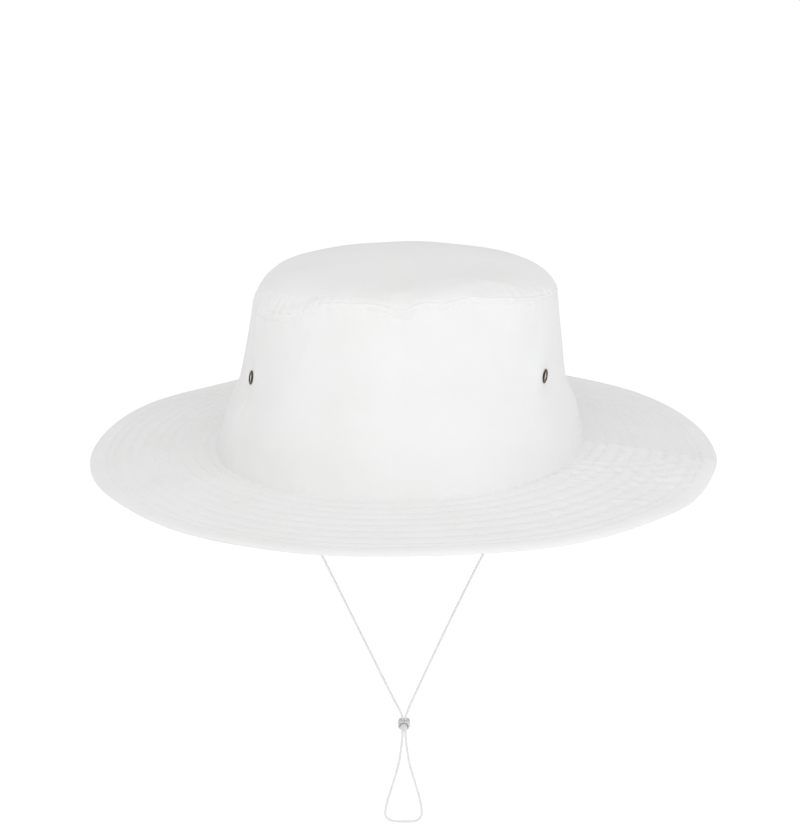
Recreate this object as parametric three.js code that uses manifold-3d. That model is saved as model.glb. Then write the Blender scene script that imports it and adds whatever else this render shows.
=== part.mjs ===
// A white cricket hat: a flared cloth crown with a soft domed tip, a wide quilted brim, four vent
// eyelets and a thin chin cord with a small spring cord lock. Millimetres, +Z up, front towards -Y.
// The origin is the middle of the head opening, level with the seam between crown and brim.
import * as THREE from 'three';
import { ParametricGeometry } from 'three/addons/geometries/ParametricGeometry.js';
import { mergeVertices } from 'three/addons/utils/BufferGeometryUtils.js';
import Module from 'manifold-3d';

const wasm = await Module();
wasm.setup();

// Head opening, outer face of the cloth at the brim seam
const BASE_HALF_WIDTH = 91.5;
const BASE_HALF_DEPTH = 96.5;
const BASE_SQUARE = 2.15; // 2 is a plain oval, more is squarer
const SEAM_TILT = 2.3; // the seam rises this much at +X and falls as much at -X

// Crown
const CROWN_HEIGHT = 80;
const TIP_HALF_WIDTH = 74.5;
const TIP_HALF_DEPTH = 69;
const TIP_SQUARE = 2.35;
const DOME_RISE = 13; // middle of the tip over CROWN_HEIGHT
const CROWN_LEAN = 2.5; // the top sits this much towards +X
const CROWN_CLOTH = 1.5;
const FOLD_DEPTH = 2;
const TIP_DENT_DEPTH = 2;

// Brim
const BRIM_SIDE_WIDTH = 65;
const BRIM_FRONT_WIDTH = 62.5;
const BRIM_SQUARE = 2;
const BRIM_SHIFT = 2; // the outer edge sits this much towards +X
const BRIM_DROP = 10;
const BRIM_BEND = 1.15; // 1 falls straight to the edge, more falls later
const BRIM_WAVE = 1.6;
const BRIM_CLOTH = 2.6;
const HEM_ROUND = 0.9; // how far the rolled edge stands out

// Seams between cloth pieces
const SEAM_GAP = 0.3;

// Vent eyelets
const EYELET_TURN = 61.2; // from the front, and from the back for the rear pair
const EYELET_SKEW = 2.6; // all four sit this many degrees clockwise of a square placing
const EYELET_HEIGHT = 42.6; // over the brim seam
const EYELET_RADIUS = 3.9;
const EYELET_BORE = 1.9;
const EYELET_WALL = 0.5;
const EYELET_FLANGE = 0.6;
const EYELET_WASHER_RADIUS = 3.4;
const EYELET_GAP = 0.5;

// Cord tabs inside the seam
const TAB_TURN = 28.4; // behind the widest point of each side
const TAB_HEIGHT = 7; // middle of the tab over the brim seam
const TAB_WIDTH = 10;
const TAB_TALL = 9;
const TAB_CLOTH = 1.6;
const TAB_CORNER = 1.5;
const TAB_GAP = 0.4;

// Chin cord
const CORD_DIAMETER = 1.3;
const CORD_PLANE = 43; // the cord hangs in the plane at this Y
const CORD_SPACING = 1.6; // between the two cords inside the lock
const CORD_STEPS = 80;
const CORD_SIDES = 8;

// Cord lock
const LOCK_X = 0.4;
const LOCK_Z = -174.9;
const LOCK_HALF_WIDTH = 3.5;
const LOCK_TOP = 3.25;
const LOCK_BOTTOM = 3.6;
const LOBE_RADIUS = 2.05;
const LOCK_BELLY = 0.62; // how far the foot stays full, share of its half width
const LOCK_FRONT = 3.4; // the body reaches this far in front of the cords
const LOCK_BACK = 4.6;
const LOCK_ROUND = 1.2;
const CHANNEL_CLEARANCE = 0.3;
const BUTTON_RADIUS = 2.35;
const BUTTON_PROUD = 1.8;
const BUTTON_Z = -0.25; // middle of the button from the middle of the body
const BUTTON_ROUND = 0.5;
const BUTTON_BULGE = 0.3; // how full its rounded edge is, 0.5 is a flat bevel
const BUTTON_TRAVEL = 1.5;
const BUTTON_BACK_WALL = 0.8;
const BUTTON_CLEARANCE = 0.2;

// Resolution
const AROUND = 64;
const WALL_ROWS = 9;
const TIP_ROWS = 8;
const BRIM_ROWS = 6;
const EYELET_SIDES = 16;
const BUTTON_SIDES = 20;

const FRONT = 270;
const BACK = 90;

// Sections round the hat, every 30 degrees anticlockwise from +X, 270 being the front.
// tip: height of the tip seam, share of CROWN_HEIGHT. reach: outer edge of the brim, share of its
// oval. drop: fall of that edge, share of BRIM_DROP.
const SECTIONS = [
  { turn: 0, tip: 0.97, reach: 0.99, drop: 0.75 },
  { turn: 30, tip: 0.93, reach: 1, drop: 0.4 },
  { turn: 60, tip: 0.91, reach: 1, drop: 0.5 },
  { turn: 90, tip: 0.9, reach: 1, drop: 0.5 },
  { turn: 120, tip: 0.9, reach: 1, drop: 0.5 },
  { turn: 150, tip: 0.9, reach: 1, drop: 0.5 },
  { turn: 180, tip: 0.9, reach: 0.995, drop: 0.75 },
  { turn: 210, tip: 0.91, reach: 1, drop: 0.8 },
  { turn: 240, tip: 1.035, reach: 1, drop: 0.57 },
  { turn: 270, tip: 1.075, reach: 1, drop: 0.55 },
  { turn: 300, tip: 1.09, reach: 1, drop: 0.55 },
  { turn: 330, tip: 1.02, reach: 0.99, drop: 0.72 },
];

// Flare of the crown wall. up: share of its height. flare: share of the narrowing still to come.
const FLARE = [
  { up: 0, flare: 1 },
  { up: 0.12, flare: 0.86 },
  { up: 0.24, flare: 0.72 },
  { up: 0.34, flare: 0.54 },
  { up: 0.43, flare: 0.38 },
  { up: 0.6, flare: 0.24 },
  { up: 0.75, flare: 0.14 },
  { up: 0.9, flare: 0.05 },
  { up: 1, flare: 0 },
];

// Dome of the tip. run: share of the way from seam to middle. radius: share of the seam's radius.
// rise: share of the rise from seam to middle.
const DOME = [
  { run: 0, radius: 1, rise: 0 },
  { run: 0.12, radius: 0.968, rise: 0.24 },
  { run: 0.25, radius: 0.92, rise: 0.44 },
  { run: 0.4, radius: 0.83, rise: 0.66 },
  { run: 0.55, radius: 0.68, rise: 0.83 },
  { run: 0.75, radius: 0.38, rise: 0.96 },
  { run: 1, radius: 0, rise: 1 },
];

// Dips and humps of the puckered tip seam. rise: share of CROWN_HEIGHT.
const SEAM_WAVES = [
  { turn: 227, span: 7, rise: -0.045 },
  { turn: 240, span: 6, rise: 0.025 },
  { turn: 272, span: 6, rise: -0.045 },
  { turn: 287, span: 5, rise: -0.04 },
  { turn: 297, span: 5, rise: 0.01 },
];

// Soft folds of the crown wall. up, upSpan: shares of its height. out: share of FOLD_DEPTH.
const WALL_FOLDS = [
  { turn: 200, span: 9, up: 0.18, upSpan: 0.22, out: 0.5 },
  { turn: 215, span: 8, up: 0.2, upSpan: 0.25, out: -0.5 },
  { turn: 229, span: 6, up: 0.12, upSpan: 0.2, out: -0.45 },
  { turn: 290, span: 12, up: 0.42, upSpan: 0.18, out: -0.5 },
  { turn: 322, span: 8, up: 0.8, upSpan: 0.25, out: -0.6 },
  { turn: 336, span: 10, up: 0.12, upSpan: 0.2, out: -0.7 },
  { turn: 120, span: 14, up: 0.45, upSpan: 0.3, out: -0.5 },
  { turn: 70, span: 16, up: 0.7, upSpan: 0.25, out: -0.4 },
];

// Dents of the tip, at a place on it. ahead, aside: shares of the half depth towards the front and
// of the half width towards +X. wide, long: the dent's half sizes as the same shares.
const TIP_DENTS = [
  { ahead: 0.62, aside: -0.02, wide: 0.2, long: 0.42, depth: 0.9 },
  { ahead: 0.45, aside: 0.5, wide: 0.3, long: 0.3, depth: -0.35 },
  { ahead: 0.4, aside: -0.55, wide: 0.3, long: 0.3, depth: -0.35 },
  { ahead: -0.5, aside: 0.2, wide: 0.4, long: 0.3, depth: 0.5 },
];

// Waves of the brim. rise: share of BRIM_WAVE at the outer edge. The first is the side seam's ridge.
const BRIM_WAVES = [
  { turn: 352, span: 9, rise: 0.9 },
  { turn: 25, span: 14, rise: -0.5 },
  { turn: 188, span: 10, rise: 0.3 },
  { turn: 215, span: 14, rise: -0.4 },
  { turn: 243, span: 12, rise: 0.4 },
  { turn: 285, span: 14, rise: -0.4 },
  { turn: 318, span: 12, rise: 0.35 },
  { turn: 130, span: 16, rise: 0.5 },
  { turn: 75, span: 14, rise: 0.4 },
];

// The cord's route, chosen by hand: down from the left tab, through the lock, round the loop below
// it, back up through the lock and to the right tab. x and z in its hanging plane.
const CORD_ROUTE = [
  { x: -79.6, z: 0.2 },
  { x: -79.3, z: -3.5 },
  { x: -77.2, z: -8.5 },
  { x: -62, z: -39 },
  { x: -42.7, z: -79.3 },
  { x: -23.8, z: -120 },
  { x: -5.4, z: -159.6 },
  { x: -2.2, z: -166 },
  { x: -0.45, z: -170.6 },
  { x: -0.4, z: -174.9 },
  { x: -0.45, z: -179.2 },
  { x: -1.3, z: -184.5 },
  { x: -3.6, z: -197.9 },
  { x: -6.6, z: -210 },
  { x: -9.6, z: -223 },
  { x: -9.4, z: -229 },
  { x: -6.4, z: -231.4 },
  { x: 0.4, z: -231.8 },
  { x: 7.2, z: -231.2 },
  { x: 9.7, z: -228.6 },
  { x: 9.7, z: -222.6 },
  { x: 6.8, z: -209.5 },
  { x: 3.8, z: -197.8 },
  { x: 2.1, z: -184.5 },
  { x: 1.25, z: -179.2 },
  { x: 1.2, z: -174.9 },
  { x: 1.25, z: -170.6 },
  { x: 2.7, z: -166 },
  { x: 5.3, z: -159.6 },
  { x: 22.4, z: -120 },
  { x: 41.2, z: -78.8 },
  { x: 61.5, z: -39.5 },
  { x: 78.2, z: -8.5 },
  { x: 80.3, z: -1.5 },
  { x: 80.2, z: 4.2 },
];

const WHITE_CLOTH = { color: 0xf1f1ef, roughness: 0.9, metalness: 0 };
const BRIM_WHITE = { color: 0xeeeeec, roughness: 0.9, metalness: 0 };
const TAPE_WHITE = { color: 0xe6e6e3, roughness: 0.9, metalness: 0 };
const GUNMETAL = { color: 0x3a3430, roughness: 0.35, metalness: 0.9 };
const CORD_WHITE = { color: 0xe4e4e2, roughness: 0.85, metalness: 0 };
const LOCK_GREY = { color: 0xbfbfbf, roughness: 0.4, metalness: 0 };
const BUTTON_GREY = { color: 0xd6d6d6, roughness: 0.4, metalness: 0 };

const radians = THREE.MathUtils.degToRad;
const signedTurn = (turn, from) => THREE.MathUtils.euclideanModulo(turn - from + 180, 360) - 180;
const near = (turn, centre, span) => Math.exp(-((signedTurn(turn, centre) / span) ** 2));
const bell = (value, centre, span) => Math.exp(-(((value - centre) / span) ** 2));

// Radius of a superellipse in the direction of turn.
function ovalRadius(turn, halfWidth, halfDepth, square) {
  const x = Math.abs(Math.cos(radians(turn)) / halfWidth) ** square;
  const y = Math.abs(Math.sin(radians(turn)) / halfDepth) ** square;
  return (x + y) ** (-1 / square);
}

// Smooth closed curve through one column of SECTIONS.
function aroundHat(turn, column) {
  const count = SECTIONS.length;
  const place = (THREE.MathUtils.euclideanModulo(turn, 360) / 360) * count;
  const first = Math.floor(place) % count;
  const f = place - Math.floor(place);
  const [a, b, c, d] = [-1, 0, 1, 2].map((k) => SECTIONS[(first + k + count) % count][column]);
  const linear = c - a;
  const square = 2 * a - 5 * b + 4 * c - d;
  const cube = 3 * (b - c) + d - a;
  return b + 0.5 * f * (linear + f * (square + f * cube));
}

// Smooth curve through one column of a table, against its first column.
function alongTable(table, key, column, value) {
  const last = table.length - 2;
  const found = table.findIndex((row) => row[key] > value) - 1;
  const i = found < 0 ? last : found;
  const slope = (k) => {
    const before = table[Math.max(k - 1, 0)];
    const after = table[Math.min(k + 1, table.length - 1)];
    return (after[column] - before[column]) / (after[key] - before[key]);
  };
  const span = table[i + 1][key] - table[i][key];
  const f = (value - table[i][key]) / span;
  const start = (2 * f ** 3 - 3 * f ** 2 + 1) * table[i][column];
  const end = (3 * f ** 2 - 2 * f ** 3) * table[i + 1][column];
  const startSlope = (f ** 3 - 2 * f ** 2 + f) * span * slope(i);
  const endSlope = (f ** 3 - f ** 2) * span * slope(i + 1);
  return start + end + startSlope + endSlope;
}

const total = (table, effect) => table.reduce((sum, row) => sum + effect(row), 0);

const seamHeight = (turn) => SEAM_TILT * Math.cos(radians(turn));

function tipSeamHeight(turn) {
  const waves = total(SEAM_WAVES, (wave) => wave.rise * near(turn, wave.turn, wave.span));
  return CROWN_HEIGHT * (aroundHat(turn, 'tip') + waves);
}

function baseRadius(turn) {
  return ovalRadius(turn, BASE_HALF_WIDTH, BASE_HALF_DEPTH, BASE_SQUARE);
}

// Outer face of the crown wall, up = 0 at the brim seam and 1 at the tip seam.
function wallFace(turn, up) {
  const flare = alongTable(FLARE, 'up', 'flare', up);
  const tipRadius = ovalRadius(turn, TIP_HALF_WIDTH, TIP_HALF_DEPTH, TIP_SQUARE);
  const fold = total(
    WALL_FOLDS,
    (row) => row.out * near(turn, row.turn, row.span) * bell(up, row.up, row.upSpan),
  );
  // The folds fade out at both seams, where the next cloth piece is sewn on.
  const fade = Math.sin(Math.PI * Math.min(Math.max(up, 0), 1));
  const radius = tipRadius + (baseRadius(turn) - tipRadius) * flare + FOLD_DEPTH * fold * fade;
  const low = seamHeight(turn) + SEAM_GAP;
  const high = tipSeamHeight(turn) - SEAM_GAP / 2;
  return new THREE.Vector3(
    radius * Math.cos(radians(turn)) + CROWN_LEAN * up,
    radius * Math.sin(radians(turn)),
    low + (high - low) * up,
  );
}

// Outer face of the tip, run = 0 at its seam and 1 in the middle.
function tipFace(turn, run) {
  const share = alongTable(DOME, 'run', 'radius', run);
  const radius = share * ovalRadius(turn, TIP_HALF_WIDTH, TIP_HALF_DEPTH, TIP_SQUARE);
  const x = radius * Math.cos(radians(turn));
  const y = radius * Math.sin(radians(turn));
  const low = tipSeamHeight(turn) + SEAM_GAP / 2;
  const high = CROWN_HEIGHT + DOME_RISE;
  const dent = total(
    TIP_DENTS,
    (row) =>
      row.depth * bell(-y / TIP_HALF_DEPTH, row.ahead, row.long) * bell(x / TIP_HALF_WIDTH, row.aside, row.wide),
  );
  const fade = Math.min(run / DOME[2].run, 1);
  const rise = alongTable(DOME, 'run', 'rise', run);
  return new THREE.Vector3(x + CROWN_LEAN, y, low + (high - low) * rise - TIP_DENT_DEPTH * dent * fade);
}

// Upper face of the brim, out = 0 at its inner edge and 1 at the hem.
function brimFace(turn, out) {
  const inner = baseRadius(turn) - CROWN_CLOTH;
  const halfWidth = BASE_HALF_WIDTH + BRIM_SIDE_WIDTH;
  const halfDepth = BASE_HALF_DEPTH + BRIM_FRONT_WIDTH;
  const outer = ovalRadius(turn, halfWidth, halfDepth, BRIM_SQUARE) * aroundHat(turn, 'reach');
  const radius = inner + (outer - inner) * out;
  const waves = total(BRIM_WAVES, (wave) => wave.rise * near(turn, wave.turn, wave.span));
  const fall = BRIM_DROP * aroundHat(turn, 'drop') * out ** BRIM_BEND;
  return new THREE.Vector3(
    radius * Math.cos(radians(turn)) + BRIM_SHIFT * out,
    radius * Math.sin(radians(turn)),
    seamHeight(turn) * (1 - out) - fall + BRIM_WAVE * waves * out,
  );
}

// Outward unit normal of a face by differences, kept off its two ends.
function normalOf(face, turn, share) {
  const step = 0.01;
  const inside = Math.min(Math.max(share, step), 1 - step);
  const across = face(turn + step, inside).sub(face(turn - step, inside));
  const along = face(turn, inside + step / 2).sub(face(turn, inside - step / 2));
  return across.cross(along).normalize();
}

// Level unit vector pointing out from the hat's middle.
const outward = (turn) => new THREE.Vector3(Math.cos(radians(turn)), Math.sin(radians(turn)), 0);

// Wall's inner face: level offset by the cloth's thickness.
function wallInside(turn, up) {
  return wallFace(turn, up).addScaledVector(outward(turn), -CROWN_CLOTH);
}

// Tip's inner face: level offset at the seam, along the normal further in.
function tipInside(turn, run) {
  const up = new THREE.Vector3(0, 0, 1);
  const direction = run === 0 ? outward(turn) : run === 1 ? up : normalOf(tipFace, turn, run);
  return tipFace(turn, run).addScaledVector(direction, -CROWN_CLOTH);
}

// Closed cloth surface: its section is a closed list of points as a function of turn.
function clothGeometry(section, points) {
  const surface = (u, v, target) => {
    target.copy(section(u * 360, Math.round(v * points) % points));
  };
  return new ParametricGeometry(surface, AROUND, points);
}

function wallGeometry() {
  const points = 2 * (WALL_ROWS + 1);
  return clothGeometry((turn, index) => {
    if (index <= WALL_ROWS) return wallFace(turn, index / WALL_ROWS);
    return wallInside(turn, (points - 1 - index) / WALL_ROWS);
  }, points);
}

function tipGeometry() {
  const points = 2 * (TIP_ROWS + 1);
  return clothGeometry((turn, index) => {
    if (index <= TIP_ROWS) return tipFace(turn, index / TIP_ROWS);
    return tipInside(turn, (points - 1 - index) / TIP_ROWS);
  }, points);
}

function brimGeometry() {
  const underside = BRIM_ROWS + 1;
  const points = 2 * underside + 1;
  return clothGeometry((turn, index) => {
    if (index <= BRIM_ROWS) return brimFace(turn, 1 - index / BRIM_ROWS);
    const hem = index === points - 1;
    const out = hem ? 1 : (index - underside) / BRIM_ROWS;
    const point = brimFace(turn, out);
    point.z -= hem ? BRIM_CLOTH / 2 : BRIM_CLOTH;
    return hem ? point.addScaledVector(outward(turn), HEM_ROUND) : point;
  }, points);
}

// Geometry to solid and back, for joins and cuts.
function solidFrom(geometry, matrix = new THREE.Matrix4()) {
  const bare = geometry.clone().applyMatrix4(matrix);
  bare.deleteAttribute('normal');
  bare.deleteAttribute('uv');
  const merged = mergeVertices(bare, 1e-4);
  return new wasm.Manifold(
    new wasm.Mesh({
      numProp: 3,
      vertProperties: merged.attributes.position.array,
      triVerts: new Uint32Array(merged.index.array),
    }),
  );
}

function geometryFrom(solid) {
  const mesh = solid.getMesh();
  const geometry = new THREE.BufferGeometry();
  geometry.setAttribute('position', new THREE.BufferAttribute(mesh.vertProperties, 3));
  geometry.setIndex(new THREE.BufferAttribute(mesh.triVerts, 1));
  geometry.computeVertexNormals();
  return geometry;
}

// Frame on a face at a height over the brim seam: Z along its normal, Y as upright as that allows.
function seatOn(face, turn, height) {
  const reach = tipSeamHeight(turn) - seamHeight(turn);
  const up = height / reach;
  const z = normalOf(wallFace, turn, up);
  const x = new THREE.Vector3(0, 0, 1).cross(z).normalize();
  const y = new THREE.Vector3().crossVectors(z, x);
  return new THREE.Matrix4().makeBasis(x, y, z).setPosition(face(turn, up));
}

const EYELETS = [
  { name: 'eyelet_left', turn: FRONT - EYELET_TURN - EYELET_SKEW },
  { name: 'eyelet_right', turn: FRONT + EYELET_TURN - EYELET_SKEW },
  { name: 'eyelet_rear_left', turn: BACK + EYELET_TURN - EYELET_SKEW },
  { name: 'eyelet_rear_right', turn: BACK - EYELET_TURN - EYELET_SKEW },
];

// Eyelet: rolled flange outside, barrel through the cloth, flat washer inside.
function eyeletGeometry() {
  const barrel = EYELET_BORE + EYELET_WALL;
  const face = EYELET_GAP;
  const back = -CROWN_CLOTH - EYELET_GAP;
  const crest = (EYELET_BORE + EYELET_RADIUS) / 2;
  const profile = [
    [EYELET_BORE, back - EYELET_FLANGE],
    [EYELET_WASHER_RADIUS, back - EYELET_FLANGE],
    [EYELET_WASHER_RADIUS, back],
    [barrel, back],
    [barrel, face],
    [EYELET_RADIUS, face],
    [EYELET_RADIUS, face + EYELET_FLANGE / 2],
    [crest, face + EYELET_FLANGE],
    [EYELET_BORE, face + EYELET_FLANGE / 2],
    [EYELET_BORE, back - EYELET_FLANGE],
  ];
  const points = profile.map(([radius, height]) => new THREE.Vector2(radius, height));
  return new THREE.LatheGeometry(points, EYELET_SIDES).rotateX(Math.PI / 2);
}

function eyeletHole(turn) {
  const length = CROWN_CLOTH * 6;
  const radius = EYELET_BORE + EYELET_WALL + EYELET_GAP;
  const hole = new THREE.CylinderGeometry(radius, radius, length, EYELET_SIDES).rotateX(Math.PI / 2);
  return solidFrom(hole, seatOn(wallFace, turn, EYELET_HEIGHT));
}

function crownWall() {
  const cut = EYELETS.reduce(
    (cloth, eyelet) => cloth.subtract(eyeletHole(eyelet.turn)),
    solidFrom(wallGeometry()),
  );
  return geometryFrom(cut);
}

// Plain cloth tab with rounded corners, lying along the inside of the wall.
function tabGeometry() {
  const w = TAB_WIDTH / 2;
  const h = TAB_TALL / 2;
  const r = TAB_CORNER;
  const outline = new THREE.Shape();
  outline.moveTo(-w + r, -h).lineTo(w - r, -h).absarc(w - r, -h + r, r, -Math.PI / 2, 0);
  outline.lineTo(w, h - r).absarc(w - r, h - r, r, 0, Math.PI / 2);
  outline.lineTo(-w + r, h).absarc(-w + r, h - r, r, Math.PI / 2, Math.PI);
  outline.lineTo(-w, -h + r).absarc(-w + r, -h + r, r, Math.PI, 1.5 * Math.PI);
  const tab = new THREE.ExtrudeGeometry(outline, { depth: TAB_CLOTH, bevelEnabled: false, curveSegments: 3 });
  return tab.translate(0, 0, -TAB_CLOTH - TAB_GAP);
}

// Cord: a round section carried along a smooth curve through the route.
function cordGeometry() {
  const points = CORD_ROUTE.map(({ x, z }) => new THREE.Vector3(x, CORD_PLANE, z));
  const path = new THREE.CatmullRomCurve3(points, false, 'centripetal');
  const section = new THREE.Shape();
  section.absarc(0, 0, CORD_DIAMETER / 2, 0, 2 * Math.PI);
  return new THREE.ExtrudeGeometry(section, {
    steps: CORD_STEPS,
    curveSegments: CORD_SIDES / 2,
    extrudePath: path,
  });
}

// Channel for both cords, cut straight down through body or button; depth is along Y.
function channelSolid(front, back) {
  const width = CORD_SPACING + CORD_DIAMETER + 2 * CHANNEL_CLEARANCE;
  const height = 2 * (LOCK_TOP + LOCK_BOTTOM);
  const box = new THREE.BoxGeometry(width, back - front, height);
  return solidFrom(box.translate(0, (front + back) / 2, 0));
}

const cordReach = CORD_DIAMETER / 2 + CHANNEL_CLEARANCE;
const buttonFront = -LOCK_FRONT - BUTTON_PROUD;
const buttonBack = cordReach + BUTTON_BACK_WALL;

// Heart-like outline with two lobes at the top and a rounded foot.
function lockOutline() {
  const side = LOCK_HALF_WIDTH - LOBE_RADIUS;
  const shoulder = LOCK_TOP - LOBE_RADIUS;
  const notch = Math.acos(side / LOBE_RADIUS);
  const w = LOCK_HALF_WIDTH - LOCK_ROUND;
  const outline = new THREE.Shape();
  outline.moveTo(0, -LOCK_BOTTOM + LOCK_ROUND);
  outline.bezierCurveTo(w * LOCK_BELLY, -LOCK_BOTTOM + LOCK_ROUND, w, -shoulder, w, shoulder);
  outline.absarc(side, shoulder, LOBE_RADIUS - LOCK_ROUND, 0, Math.PI - notch * 0.5);
  outline.absarc(-side, shoulder, LOBE_RADIUS - LOCK_ROUND, notch * 0.5, Math.PI);
  outline.bezierCurveTo(-w, -shoulder, -w * LOCK_BELLY, -LOCK_BOTTOM + LOCK_ROUND, 0, -LOCK_BOTTOM + LOCK_ROUND);
  return outline;
}

function lockBody() {
  const depth = LOCK_FRONT + LOCK_BACK;
  const block = new THREE.ExtrudeGeometry(lockOutline(), {
    depth: depth - 2 * LOCK_ROUND,
    bevelThickness: LOCK_ROUND,
    bevelSize: LOCK_ROUND,
    bevelSegments: 3,
    curveSegments: 6,
  });
  // The outline stands upright and its depth runs from front to back.
  block.rotateX(Math.PI / 2).translate(0, LOCK_BACK - LOCK_ROUND, 0);
  const boreEnd = buttonBack + BUTTON_TRAVEL + CHANNEL_CLEARANCE;
  const boreLength = boreEnd + 2 * LOCK_FRONT;
  const boreRadius = BUTTON_RADIUS + BUTTON_CLEARANCE;
  const bore = new THREE.CylinderGeometry(boreRadius, boreRadius, boreLength, BUTTON_SIDES);
  bore.translate(0, boreEnd - boreLength / 2, BUTTON_Z);
  return geometryFrom(
    solidFrom(block).subtract(solidFrom(bore)).subtract(channelSolid(-cordReach, cordReach)),
  );
}

function lockButton() {
  const r = BUTTON_RADIUS;
  const profile = [
    [0, buttonFront],
    [r - BUTTON_ROUND, buttonFront],
    [r - BUTTON_ROUND * BUTTON_BULGE, buttonFront + BUTTON_ROUND * BUTTON_BULGE],
    [r, buttonFront + BUTTON_ROUND],
    [r, buttonBack],
    [0, buttonBack],
  ];
  const points = profile.map(([radius, place]) => new THREE.Vector2(radius, place));
  const button = new THREE.LatheGeometry(points, BUTTON_SIDES).translate(0, 0, BUTTON_Z);
  // Pushed in, the button moves back by its travel, so its slot is longer at the front.
  return geometryFrom(solidFrom(button).subtract(channelSolid(-cordReach - BUTTON_TRAVEL, cordReach)));
}

const hat = new THREE.Group();

function addPiece(name, geometry, finish, parent = hat) {
  const piece = new THREE.Mesh(geometry, new THREE.MeshStandardMaterial(finish));
  piece.name = name;
  parent.add(piece);
  return piece;
}

function seatPiece(piece, matrix) {
  matrix.decompose(piece.position, piece.quaternion, piece.scale);
}

addPiece('crown_side', crownWall(), WHITE_CLOTH);
addPiece('crown_tip', tipGeometry(), WHITE_CLOTH);
addPiece('brim', brimGeometry(), BRIM_WHITE);

for (const { name, turn } of EYELETS) {
  seatPiece(addPiece(name, eyeletGeometry(), GUNMETAL), seatOn(wallFace, turn, EYELET_HEIGHT));
}

const TABS = [
  { name: 'cord_tab_left', turn: 180 - TAB_TURN },
  { name: 'cord_tab_right', turn: TAB_TURN },
];
for (const { name, turn } of TABS) {
  seatPiece(addPiece(name, tabGeometry(), TAPE_WHITE), seatOn(wallInside, turn, TAB_HEIGHT));
}

addPiece('chin_cord', cordGeometry(), CORD_WHITE);

const lock = new THREE.Group();
lock.position.set(LOCK_X, CORD_PLANE, LOCK_Z);
hat.add(lock);
addPiece('toggle_body', lockBody(), LOCK_GREY, lock);
addPiece('toggle_button', lockButton(), BUTTON_GREY, lock);

export default hat;
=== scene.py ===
# White cricket hat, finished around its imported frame. Metres, +Z up, the hat's front towards -Y.
import math

import bpy
import numpy as np
from mathutils import Matrix, Vector


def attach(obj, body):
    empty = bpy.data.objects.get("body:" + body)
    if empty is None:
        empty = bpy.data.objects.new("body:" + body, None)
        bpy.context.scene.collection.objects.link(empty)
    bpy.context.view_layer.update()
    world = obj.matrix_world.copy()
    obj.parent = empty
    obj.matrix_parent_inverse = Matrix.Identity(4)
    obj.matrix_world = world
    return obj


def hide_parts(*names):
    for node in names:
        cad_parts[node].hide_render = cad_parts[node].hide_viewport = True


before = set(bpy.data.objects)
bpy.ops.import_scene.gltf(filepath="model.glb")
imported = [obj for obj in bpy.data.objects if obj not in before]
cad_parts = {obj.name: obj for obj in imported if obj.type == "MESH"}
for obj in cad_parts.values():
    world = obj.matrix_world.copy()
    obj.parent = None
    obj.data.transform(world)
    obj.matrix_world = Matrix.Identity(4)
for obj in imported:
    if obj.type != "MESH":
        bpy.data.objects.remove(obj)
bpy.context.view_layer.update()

bl_info = {
    "name": "Cricket Hat",
    "version": (1, 0, 0),
    "blender": (4, 5, 0),
    "location": "3D View > Sidebar > Hat",
    "description": "Builds a white cloth cricket hat with a quilted brim, vent eyelets and a chin cord",
    "category": "Mesh",
}

MM = 0.001
FRONT = 270.0
BACK = 90.0


def columns(names, rows):
    """A table as a dictionary from each column's name to its numbers."""
    return dict(zip(names.split(), np.array(rows, float).T))


# Sections round the hat, every 30 degrees anticlockwise from +X, 270 being the front. tip is the
# height of the tip seam as a share of the crown's, reach and drop shape the brim's edge, and
# pucker is how strongly the quilting draws the cloth up there.
SECTIONS = columns("turn tip reach drop pucker", [
    (0, 0.97, 0.99, 0.7, 0.5),
    (30, 0.93, 1, 0.42, 0.4),
    (60, 0.91, 1, 0.53, 0.5),
    (90, 0.9, 1, 0.55, 0.5),
    (120, 0.9, 1, 0.53, 0.5),
    (150, 0.9, 1, 0.53, 0.45),
    (180, 0.9, 0.995, 0.67, 0.35),
    (210, 0.91, 1, 0.66, 0.3),
    (240, 1.035, 1, 0.66, 0.3),
    (270, 1.075, 1, 0.45, 0.35),
    (300, 1.09, 1, 0.55, 0.8),
    (330, 1.02, 0.99, 0.73, 1.1),
])

# Flare of the crown wall: share of the narrowing still to come at a share of the height.
FLARE = columns("up flare", [
    (0, 1), (0.12, 0.86), (0.24, 0.72), (0.34, 0.54), (0.43, 0.38),
    (0.6, 0.24), (0.75, 0.14), (0.9, 0.05), (1, 0),
])

# Dome of the tip: share of the seam's radius and of the rise, at a share of the way in.
DOME = columns("run radius rise", [
    (0, 1, 0), (0.12, 0.968, 0.24), (0.25, 0.92, 0.44), (0.4, 0.83, 0.66),
    (0.55, 0.68, 0.83), (0.75, 0.38, 0.96), (1, 0, 1),
])

# Dips and humps of the tip seam, as shares of the crown's height.
SEAM_WAVES = columns("turn span rise", [
    (226, 9, -0.03), (240, 7, 0.015), (270, 6.5, -0.05), (287, 6, -0.025), (297, 5, 0.01),
])

# Soft folds of the crown wall. up and up_span are shares of its height, out of the fold depth.
WALL_FOLDS = columns("turn span up up_span out", [
    (200, 9, 0.18, 0.22, 0.5),
    (215, 8, 0.2, 0.25, -0.5),
    (229, 6, 0.12, 0.2, -0.45),
    (290, 12, 0.42, 0.18, -0.5),
    (322, 8, 0.8, 0.25, -0.6),
    (336, 10, 0.12, 0.2, -0.7),
    (120, 14, 0.45, 0.3, -0.5),
    (70, 16, 0.7, 0.25, -0.4),
    (6, 20, 0.45, 0.3, -0.7),
    (12, 20, 0.9, 0.2, -0.5),
])

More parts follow.
